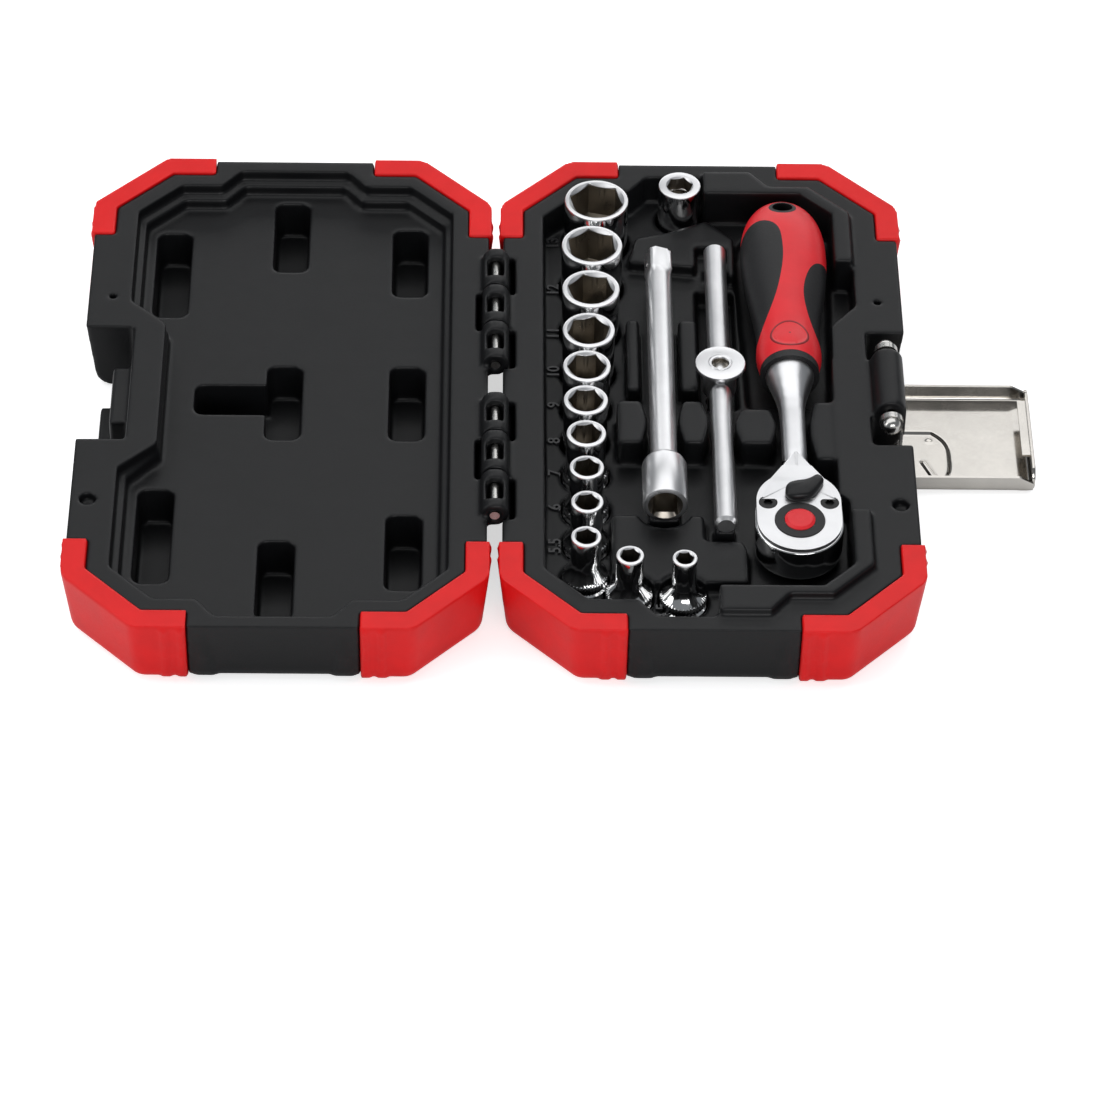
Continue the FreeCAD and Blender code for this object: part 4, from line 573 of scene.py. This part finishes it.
def insetLoop(loop, amount):
    # each point moved inwards along the loop's own normal; the loop runs against the clock
    along = np.roll(loop, -1, axis=0) - np.roll(loop, 1, axis=0)
    along /= np.linalg.norm(along, axis=1)[:, None] + 1e-9
    return loop + amount * np.stack([-along[:, 1], along[:, 0]], axis=1)


ratchetLook = {
    "x": 22.7, "z": 20.5, "headY": -55.7, "headRadius": 11.5, "headTop": 24.3, "headBottom": 14.0,
    "sides": [(-51.0, 11.5), (-48.5, 11.0), (-46.0, 9.9), (-43.5, 8.5), (-41.0, 7.2), (-37.0, 5.7),
              (-32.0, 4.2), (-28.0, 3.0)],
    "plate": [(-9.6, -48.0), (9.6, -48.0), (8.6, -44.2), (7.0, -40.6), (0.5, -29.3), (-0.5, -29.3),
              (-7.0, -40.6), (-8.6, -44.2)],
    "plateTop": 25.53, "plateLow": 23.4, "plateSlope": 0.02, "plateCrease": -41.0,
    "rounding": 1.9,
    "neck": [(-37.0, 3.0, 2.6), (-31.0, 3.1, 3.3), (-27.0, 3.25, 3.55), (-20.0, 3.2, 3.6), (-11.0, 3.3, 3.6),
             (-6.5, 3.6, 3.8), (-3.0, 4.3, 4.4), (0.0, 5.2, 5.3), (3.0, 6.1, 6.2), (5.0, 6.55, 6.6),
             (6.0, 6.6, 6.6)],
    "neckSquareness": 3.0,
    "lever": [(19.2, -46.3), (20.2, -43.6), (24.6, -42.0), (27.6, -39.9), (29.2, -41.0), (29.0, -43.0),
              (26.2, -47.6), (22.3, -48.9), (19.9, -48.2)],
    "leverHub": (22.5, -45.4), "leverLow": 25.6, "leverHigh": 27.4, "leverDome": 0.9,
}


def ratchetHead():
    # the plan outline inset and raised from the bottom edge to the top edge, both rounded;
    # from the crease to the neck the top rows fall and draw in, so the flat top turns into a round back
    look = ratchetLook
    turns = np.linspace(math.pi, 2 * math.pi, 61)
    front = [(look["headRadius"] * math.cos(t),
              look["headY"] + look["headRadius"] * math.sin(t)) for t in turns]
    levels = np.array([y for y, half in look["sides"]])
    halves = np.array([half for y, half in look["sides"]])
    steps = np.linspace(levels[0], levels[-1], 40)
    widths = np.interp(steps, levels, halves)
    widths = np.convolve(np.pad(widths, 3, mode="edge"), np.ones(7) / 7, mode="valid")
    right = list(zip(widths, steps))
    left = [(-half, y) for half, y in right[::-1]]
    plan = np.array(front + right + left)
    low, high, rounding = look["headBottom"], look["headTop"], look["rounding"]
    rows = []
    for i in range(9):
        turn = i / 8 * math.pi / 2
        rows.append((rounding * (1 - math.sin(turn)), low + rounding * (1 - math.cos(turn)), 0.0, 0.0))
    rows += [(0.0, high - 0.5, 2.9, 0.0), (0.08, high - 0.3, 2.1, 0.15), (0.15, high - 0.15, 1.5, 0.35),
             (0.45, high, 1.2, 0.65)]
    backLength = levels[-1] - look["plateCrease"]
    skin = []
    for inset, z, fall, drawn in rows:
        ring = insetLoop(plan, inset)
        thin = np.clip((ring[:, 1] + 46.0) / 17.0, 0, 1)
        back = np.clip((ring[:, 1] - look["plateCrease"]) / backLength, 0, 1)
        level = look["z"] + (z - look["z"]) * (1 - 0.42 * thin * (z < look["z"])) - fall * back
        skin.append(np.column_stack([ring[:, 0] * (1 - drawn * back) + look["x"], ring[:, 1], level]))
    addGrid("ratchetHead", skin, [chromePlate], "ratchet", ["ratchet_body"], sharp=40.0)


def ratchetNeck():
    # rings along Y between a squared round at the head and a full round at the grip
    look = ratchetLook
    angles = evenAngles(96)
    table = np.array(look["neck"])
    steps = np.linspace(table[0, 0], table[-1, 0], 90)
    rows = []
    for y in steps:
        half = np.interp(y, table[:, 0], table[:, 1])
        tall = np.interp(y, table[:, 0], table[:, 2])
        power = 2.0 + (look["neckSquareness"] - 2.0) * float(np.clip((0.0 - y) / 8.0, 0, 1))
        reach = (np.abs(np.cos(angles)) ** power + np.abs(np.sin(angles)) ** power) ** (-1 / power)
        rows.append(np.column_stack([look["x"] + half * reach * np.cos(angles), np.full(angles.shape, y),
                                     look["z"] + tall * reach * np.sin(angles)]))
    rows = np.array(rows)
    for k in range(3):
        rows[1:-1] = (rows[:-2] + rows[1:-1] * 2 + rows[2:]) / 4
    addGrid("ratchetNeck", rows, [satinPlate], "ratchet", sharp=50.0)


def coverPoint():
    # the plate's point over the neck: flat to the crease, then falling gently to its tip
    look = ratchetLook
    corners = np.array(look["plate"])
    plan = []
    for i in range(len(corners)):
        start, end = corners[i], corners[(i + 1) % len(corners)]
        plan += [start + (end - start) * share for share in np.linspace(0, 1, 12, endpoint=False)]
    plan = np.array(plan)
    low, high = look["plateLow"], look["plateTop"]
    skin = []
    for inset, z in ((0.0, low), (0.0, high - 0.25), (0.08, high - 0.08), (0.3, high)):
        ring = insetLoop(plan, inset)
        fall = look["plateSlope"] * np.clip(ring[:, 1] - look["plateCrease"], 0, None) * (z > low + 1)
        skin.append(np.column_stack([ring[:, 0] + look["x"], ring[:, 1], z - fall]))
    edge = skin[-1]
    hub = np.array([look["x"], look["plateCrease"]])
    for share in (0.8, 0.6, 0.4, 0.2, 0.05):
        flat = hub + (edge[:, :2] - hub) * share
        fall = look["plateSlope"] * np.clip(flat[:, 1] - look["plateCrease"], 0, None)
        skin.append(np.column_stack([flat, high - fall]))
    addGrid("coverPoint", skin, [satinPlate], "ratchet", sharp=8.0)


def leverPiece():
    # a leaf with a rounded edge and a domed hub, its outline run against the clock
    look = ratchetLook
    plan = smoothLoop(look["lever"], 12)
    after = np.roll(plan, -1, axis=0)
    if np.sum(plan[:, 0] * after[:, 1] - plan[:, 1] * after[:, 0]) < 0:
        plan = plan[::-1]
    low, high = look["leverLow"], look["leverHigh"]
    hub = np.array(look["leverHub"])
    skin = []
    for inset, z in ((0.2, low), (0.0, low + 0.3), (0.0, high - 0.7), (0.25, high - 0.25), (0.8, high)):
        ring = insetLoop(plan, inset)
        rise = look["leverDome"] * np.exp(-np.sum((ring - hub) ** 2, axis=1) / 14.0) * (z > low + 1)
        skin.append(np.column_stack([ring, z + rise]))
    edge = skin[-1]
    for share in (0.75, 0.5, 0.3, 0.15):
        flat = hub + (edge[:, :2] - hub) * share
        rise = look["leverDome"] * np.exp(-np.sum((flat - hub) ** 2, axis=1) / 14.0)
        skin.append(np.column_stack([flat, high + rise + 0.12 * (share < 0.6)]))
    addGrid("leverLeaf", skin, [blackSteel], "reverse_lever", ["reverse_lever"], sharp=40.0)


badgeLook = {"x": 22.65, "y": 14.1, "radius": 5.3, "rim": 0.4, "proud": 0.16, "flat": 0.02,
             "castFrom": 60.0}


def badge():
    # a plain round mark on the grip: a low rim round a flat, laid on the grip's own surface; the rim is dark
    # red, painted shade of a groove
    look = badgeLook
    angles = evenAngles(72)
    source = nodes["grip_core"]
    rows = []
    wide, rim, proud, flat = look["radius"], look["rim"], look["proud"], look["flat"]
    steps = [(wide, -0.3), (wide, 0.01), (wide - 0.12, proud), (wide - rim, proud), (wide - rim - 0.2, flat)]
    steps += [(radius, flat) for radius in (3.6, 2.4, 1.2, 0.3)]
    for radius, lift in steps:
        ring = ringAt(radius, 0.0, angles, look["x"], look["y"])
        for point in ring:
            start = Vector((point[0], point[1], look["castFrom"])) * mm
            place = source.ray_cast(start, Vector((0, 0, -1)))[1]
            point[2] = place.z / mm + lift
        rows.append(ring)
    addGrid("gripBadge", rows, [badgeRimShade, gripRed], "ratchet",
            rowPaint=[0, 0, 0, 0, 1, 1, 1, 1, 1])


ratchetHead()
ratchetNeck()
coverPoint()
leverPiece()
badge()
print("ratchet made")

latchLook = {
    "start": 52.4, "end": 88.2, "half": 18.5, "low": 0.8, "sheet": 0.8, "flange": 6.1, "bend": 1.7,
    "cut": 4.2, "cutDrop": 2.4, "wall": 7.4, "lipHalf": 10.7, "lip": 3.2,
    "dishTo": 66.6, "dishY": -6.2, "dishHalf": 11.0, "dishDeep": 0.75,
    "dishEdge": 1.1, "earX": 49.4, "earZ": 5.0, "earRadius": 3.0, "earReach": 1.5, "earHeight": 0.95,
}


def dishDepth(x, y):
    # how far the sheet is pressed down: full inside a D that is round at its far side, nothing outside
    look = latchLook
    far = look["dishTo"] - 5.2 * np.clip(np.abs(y - look["dishY"]) / look["dishHalf"], 0, 1.6) ** 3.2
    inside = np.minimum(far - x, look["dishHalf"] - np.abs(y - look["dishY"]))
    share = np.clip(inside / look["dishEdge"], 0, 1)
    deep = look["dishDeep"] * share * share * (3 - 2 * share)
    dot = 0.35 * np.exp(-((x - 61.0) ** 2 + (y - 1.3) ** 2) / 0.35)
    along = np.clip(((x - 59.2) * 2.4 + (y + 7.2) * -5.6) / 37.12, 0, 1)
    off = np.hypot(x - 59.2 - along * 2.4, y + 7.2 + along * 5.6)
    slot = 0.5 * np.exp(-(off / 0.75) ** 4)
    return deep - dot * 0.6 - slot * 0.8


def latchPan():
    # rings round the sheet's cross-section, one at each step along X; the floor is pressed to the D shape
    look = latchLook
    half, low, sheet, bend = look["half"], look["low"], look["sheet"], look["bend"]
    floorY = np.linspace(-(half - bend), half - bend, 140)
    turn = np.linspace(0, math.pi / 2, 8)
    steps = np.concatenate([np.linspace(look["start"], 68.5, 70), np.linspace(69.0, look["end"] - 0.5, 44)])
    rows = []
    for x in steps:
        past = (x - (look["end"] - look["cut"])) / look["cut"]
        top = look["flange"] - look["cutDrop"] * float(np.clip(past, 0, 1))
        outer = [(-half, top), (-half, low + bend + 0.6)]
        outer += [(-(half - bend) - bend * math.cos(t), low + bend - bend * math.sin(t)) for t in turn]
        outer += [(y, low) for y in floorY[1:-1]]
        outer += [((half - bend) + bend * math.sin(t), low + bend - bend * math.cos(t)) for t in turn]
        outer += [(half, low + bend + 0.6), (half, top)]
        small = bend - sheet
        inner = [(half - sheet, top), (half - sheet, low + bend + 0.6)]
        inner += [((half - bend) + small * math.cos(t), low + bend - small * math.sin(t)) for t in turn]
        inner += [(y, low + sheet) for y in floorY[1:-1][::-1]]
        inner += [(-(half - bend) - small * math.sin(t), low + bend - small * math.cos(t)) for t in turn]
        inner += [(-half + sheet, low + bend + 0.6), (-half + sheet, top)]
        ring = np.array(outer + inner)
        drop = dishDepth(np.full(len(ring), x), ring[:, 0]) * (ring[:, 1] < low + sheet + 0.01)
        rows.append(np.column_stack([np.full(len(ring), x), ring[:, 0], ring[:, 1] - drop]))
    addGrid("latchPan", rows, [latchSteel], "latch_hasp", ["latch_hasp"], sharp=40.0,
            folded=True)


def latchEnd():
    # the far wall with a round foot, and the lip folded in over its middle
    look = latchLook
    end, low, sheet, bend = look["end"], look["low"], look["sheet"], look["bend"]
    turn = np.linspace(0, math.pi / 2, 8)
    small = bend - sheet

    def section(top):
        outer = [(end - bend - 2.4, low - 0.02), (end - bend, low - 0.02)]
        outer += [(end - bend + bend * math.sin(t), low + bend - bend * math.cos(t)) for t in turn[1:]]
        outer += [(end, top - 0.25), (end - 0.25, top)]
        inner = [(end - sheet, top), (end - sheet, low + bend + 0.5)]
        inner += [(end - bend + small * math.cos(t), low + bend - small * math.sin(t)) for t in turn]
        inner += [(end - bend - 2.4, low + sheet + 0.02)]
        return np.array(outer + inner)

    rows = []
    for y in np.linspace(-look["half"] + 0.9, look["half"] - 0.9, 60):
        edge = (abs(y) - look["half"] + 4.0) / 3.1
        flat = section(look["wall"] - 2.6 * float(np.clip(edge, 0, 1)) ** 2)
        rows.append(np.column_stack([flat[:, 0], np.full(len(flat), y), flat[:, 1]]))
    addGrid("latchEnd", rows, [latchSteel], "latch_hasp", sharp=40.0, folded=True)
    rows = []
    top = look["wall"]
    half, thin = look["lipHalf"], 0.25
    stations = [(y, 0.0) for y in np.linspace(thin - half, half - thin, 20)]
    for y, shrink in [(-half, thin)] + stations + [(half, thin)]:
        fold = [(end - 0.05 - 1.2 + 1.25 * math.sin(t), top - 1.2 + 1.25 * math.cos(t)) for t in turn]
        under = [(end - 0.05 - 1.2 + 0.45 * math.cos(t), top - 1.2 + 0.45 * math.sin(t)) for t in turn]
        flat = np.array([(end - look["lip"], top + 0.05)] + fold + under
                        + [(end - look["lip"], top - 0.7 + shrink)])
        rows.append(np.column_stack([flat[:, 0], np.full(len(flat), y), flat[:, 1]]))
    addGrid("latchLip", rows, [latchSteel], "latch_hasp", sharp=40.0, folded=True)


def latchEars():
    # the pan's two ears round the link pin
    look = latchLook
    angles = evenAngles(40)
    wide, sheet = look["earRadius"], look["sheet"]
    for name, y in (("Rear", look["half"] - sheet), ("Front", -look["half"])):
        rows = []
        for depth, radius in ((0.0, wide - 0.2), (0.1, wide), (sheet - 0.1, wide), (sheet, wide - 0.2)):
            ring = ringAt(radius, 0.0, angles)
            ring[:, 0] = np.where(ring[:, 0] > 0, ring[:, 0] * look["earReach"], ring[:, 0])
            rows.append(np.column_stack([look["earX"] + ring[:, 0], np.full(len(ring), y + depth),
                                         look["earZ"] + ring[:, 1] * look["earHeight"]]))
        addGrid("latchEar" + name, rows, [latchSteel], "latch_hasp", sharp=40.0)


pinLook = {
    "x": 48.8, "z": 21.8, "body": 1.5, "head": 2.55, "neck": 1.15, "inner": 11.2, "end": 17.4,
    "lowerX": 49.4, "lowerZ": 5.5, "curlHalf": 16.0, "curl": 1.9, "hookThick": 1.8, "webHalf": 14.8,
}


def latchPin():
    # a round profile along Y: shaft in the case, a step, a thin neck for the link, and a domed head
    look = pinLook
    angles = evenAngles(72)
    end, head, neck = look["end"], look["head"], look["neck"]
    half = [(0.25, end), (1.1, end - 0.12), (1.8, end - 0.5), (2.3, end - 1.1), (head, end - 1.9),
            (head, end - 2.3), (head - 0.2, end - 2.5), (neck + 0.15, end - 2.6), (neck, end - 2.8),
            (neck, end - 4.1), (neck + 0.1, end - 4.3), (1.9, end - 4.4), (2.0, end - 4.6),
            (2.0, end - 5.1), (1.9, end - 5.3), (look["body"], look["inner"])]
    rows = [ringAt(radius, -y, angles) for radius, y in half]
    rows += [ringAt(radius, y, angles) for radius, y in half[::-1]]
    placed = moved(alongY(rows), look["x"], 0, look["z"])
    addGrid("latchPin", placed, [pinSteel], "base", ["latch_pin"])


def latchLink():
    # two thin hooks from the lower pin up round the necks of the upper one, and the curl that joins them
    look = pinLook
    turn = np.linspace(math.radians(-40), math.radians(215), 40)
    middle = look["end"] - 3.45
    outer = [(look["x"] + 3.15 * math.cos(t), look["z"] + 3.0 * math.sin(t)) for t in turn]
    inner = [(look["x"] + 2.65 * math.cos(t), look["z"] + 2.5 * math.sin(t)) for t in turn[::-1]]
    hook = np.array([(52.1, 4.6), (52.1, 18.6)] + outer + inner + [(51.3, 18.4), (51.4, 4.6)])
    for name, side in (("Rear", 1), ("Front", -1)):
        rows = []
        for depth in (-look["hookThick"] / 2, look["hookThick"] / 2):
            rows.append(np.column_stack([hook[:, 0], np.full(len(hook), side * middle + depth), hook[:, 1]]))
        addStrip("linkHook" + name, rows, pinSteel, "latch_link")
    angles = evenAngles(48)
    half, curl = look["curlHalf"], look["curl"]
    rows = [ringAt(curl - 0.4, -half, angles), ringAt(curl, 0.1 - half, angles),
            ringAt(curl, half - 0.1, angles), ringAt(curl - 0.4, half, angles)]
    placed = moved(alongY(rows), look["lowerX"], 0, look["lowerZ"])
    addGrid("linkCurl", placed, [latchSteel], "latch_link", ["latch_link"], sharp=40.0)
    web = np.array([(49.4, 3.7), (52.1, 4.2), (52.1, 8.6), (51.4, 8.6), (51.2, 6.6), (49.6, 6.0)])
    rows = [np.column_stack([web[:, 0], np.full(len(web), y), web[:, 1]])
            for y in (-look["webHalf"], look["webHalf"])]
    addStrip("linkWeb", rows, latchSteel, "latch_link")


def addStrip(name, rows, paint, body):
    # a flat outline pushed along Y, its two ends closed with one face each
    rows = np.asarray(rows, float)
    count = rows.shape[1]
    faces = gridFaces(2, count) + [list(range(count))[::-1], list(range(count, 2 * count))]
    piece = addPiece(name, rows.reshape(-1, 3) * mm, faces, paint, body)
    fixNormals(piece)
    piece.data.set_sharp_from_angle(angle=math.radians(40))
    return piece


latchPan()
latchEnd()
latchEars()
latchPin()
latchLink()
print("latch made")

# numbers beside the pockets

numberLook = {
    "x": -40.4, "z": 12.5, "size": 4.6, "raise": 0.45, "bevel": 0.10,
    "column": {"13": 68.5, "12": 48.6, "11": 30.6, "10": 14.9, "9": 1.6, "8": -12.6, "7": -25.1,
               "6": -38.3, "5.5": -53.0},
    "front": {"5": (-32.2, -73.6), "4.5": (-12.8, -77.1), "4": (-6.2, -77.5)},
}


def numberMarks():
    # small raised figures on the tray's shelf, turned to read from the hinge side, painted a paler black as a
    # painted highlight
    look = numberLook
    places = {label: (look["x"], y) for label, y in look["column"].items()}
    places.update(look["front"])
    upright = Matrix.Rotation(math.radians(90), 4, "Z")
    for label, (x, y) in places.items():
        text = bpy.data.curves.new("figure", "FONT")
        text.body = label
        text.size = look["size"] * mm
        text.extrude = look["raise"] * mm
        text.bevel_depth = look["bevel"] * mm
        text.align_x = "CENTER"
        text.align_y = "CENTER"
        holder = bpy.data.objects.new("figure", text)
        bpy.context.scene.collection.objects.link(holder)
        graph = bpy.context.evaluated_depsgraph_get()
        mesh = bpy.data.meshes.new_from_object(holder.evaluated_get(graph))
        mesh.transform(Matrix.Translation(Vector((x, y, look["z"])) * mm) @ upright)
        bpy.data.objects.remove(holder)
        piece = bpy.data.objects.new("number" + label.replace(".", "point"), mesh)
        bpy.context.scene.collection.objects.link(piece)
        finishPiece(piece, figureHighlightPlastic, "base", smooth=False)
        fixNormals(piece)


numberMarks()
print("numbers made")

# carried-over CAD nodes

finishes = {
    "black_plastic": blackPlastic, "red_plastic": redPlastic, "chrome": chromePlate,
    "satin_chrome": satinPlate, "latch_steel": latchSteel, "pin_steel": pinSteel,
    "black_steel": blackSteel, "grip_red": gripRed, "grip_black": gripBlack,
}
slotOf = {entry["node"]: entry["material_slot"] for entry in frame["record"]["subparts"]}
for name, node in nodes.items():
    for place in node.material_slots:
        place.material = finishes[slotOf[name]]

# floor, light and camera

stageLook = {
    "floorSize": 6.0, "floorGlow": 0.62, "floorColor": (0.93, 0.93, 0.93, 1),
    "surround": (0.9, 0.95, 1.0, 1), "surroundStrength": 0.22, "aim": (-0.05, 0, 0),
    "lights": {     # name: place, width, depth, power
        "overhead": ((-0.15, 0.30, 1.1), 2.0, 1.3, 11),
        "backLight": ((0.1, 1.4, 0.55), 1.8, 0.5, 5),
        "sideLight": ((-1.3, -0.3, 0.7), 0.6, 0.9, 4),
        "frontLight": ((0.3, -1.5, 0.7), 1.2, 0.6, 9.5),
    },
}


def stageFloor():
    # a pale floor that catches the shadow and reads white to the camera
    size = stageLook["floorSize"]
    mesh = bpy.data.meshes.new("floor")
    mesh.from_pydata([(-size, -size, 0), (size, -size, 0), (size, size, 0), (-size, size, 0)], [],
                     [(0, 1, 2, 3)])
    floor = bpy.data.objects.new("floor", mesh)
    bpy.context.scene.collection.objects.link(floor)
    paint = bpy.data.materials.new("paleFloor")
    paint.use_nodes = True
    tree = paint.node_tree
    shader = tree.nodes["Principled BSDF"]
    shader.inputs["Base Color"].default_value = stageLook["floorColor"]
    shader.inputs["Roughness"].default_value = 0.6
    shader.inputs["Specular IOR Level"].default_value = 0.1
    shader.inputs["Emission Strength"].default_value = 1.0
    path = tree.nodes.new("ShaderNodeLightPath")
    glow = tree.nodes.new("ShaderNodeMath")
    glow.operation = "MULTIPLY"
    glow.inputs[1].default_value = stageLook["floorGlow"]
    tree.links.new(path.outputs["Is Camera Ray"], glow.inputs[0])
    tree.links.new(glow.outputs["Value"], shader.inputs["Emission Color"])
    mesh.materials.append(paint)


def areaLight(name, place, width, depth, power):
    data = bpy.data.lights.new(name, "AREA")
    data.shape = "RECTANGLE"
    data.size = width
    data.size_y = depth
    data.energy = power
    light = bpy.data.objects.new(name, data)
    light.location = place
    light.rotation_mode = "QUATERNION"
    light.rotation_quaternion = (Vector(stageLook["aim"]) - Vector(place)).to_track_quat("-Z", "Y")
    bpy.context.scene.collection.objects.link(light)


def world():
    # a dim pale surround that the camera sees as white
    made = bpy.data.worlds.new("studio")
    bpy.context.scene.world = made
    made.use_nodes = True
    tree = made.node_tree
    tree.nodes.clear()
    out = tree.nodes.new("ShaderNodeOutputWorld")
    mix = tree.nodes.new("ShaderNodeMixShader")
    path = tree.nodes.new("ShaderNodeLightPath")
    lit = tree.nodes.new("ShaderNodeBackground")
    lit.inputs["Color"].default_value = stageLook["surround"]
    lit.inputs["Strength"].default_value = stageLook["surroundStrength"]
    seen = tree.nodes.new("ShaderNodeBackground")
    seen.inputs["Color"].default_value = (1, 1, 1, 1)
    seen.inputs["Strength"].default_value = 1.0
    tree.links.new(path.outputs["Is Camera Ray"], mix.inputs["Fac"])
    tree.links.new(lit.outputs["Background"], mix.inputs[1])
    tree.links.new(seen.outputs["Background"], mix.inputs[2])
    tree.links.new(mix.outputs["Shader"], out.inputs["Surface"])


camera = {
    "place": (-0.0592, -0.9918, 0.9150),     # metres
    "down": math.radians(43.9),
    "yaw": -0.018634,
    "roll": 0.020599,
    "lens": 163.636,
}


def makeCamera():
    # aimed down and a little to one side, then rolled
    down, yaw, roll = camera["down"], camera["yaw"], camera["roll"]
    forward = Vector((-math.sin(yaw) * math.cos(down), math.cos(yaw) * math.cos(down), -math.sin(down)))
    right = Vector((math.cos(yaw), math.sin(yaw), 0))
    up = right.cross(forward)
    across = math.cos(roll) * right + math.sin(roll) * up
    upward = -math.sin(roll) * right + math.cos(roll) * up
    data = bpy.data.cameras.new("camera")
    data.lens = camera["lens"]
    data.sensor_width = 36.0
    data.clip_start = 0.05
    data.clip_end = 50.0
    made = bpy.data.objects.new("camera", data)
    turn = Matrix((across, upward, -forward)).transposed()
    made.matrix_world = Matrix.Translation(Vector(camera["place"])) @ turn.to_4x4()
    bpy.context.scene.collection.objects.link(made)
    bpy.context.scene.camera = made


stageFloor()
world()
for name, (place, width, depth, power) in stageLook["lights"].items():
    areaLight(name, place, width, depth, power)
makeCamera()
bpy.context.scene.view_settings.view_transform = "Standard"
print("stage made")
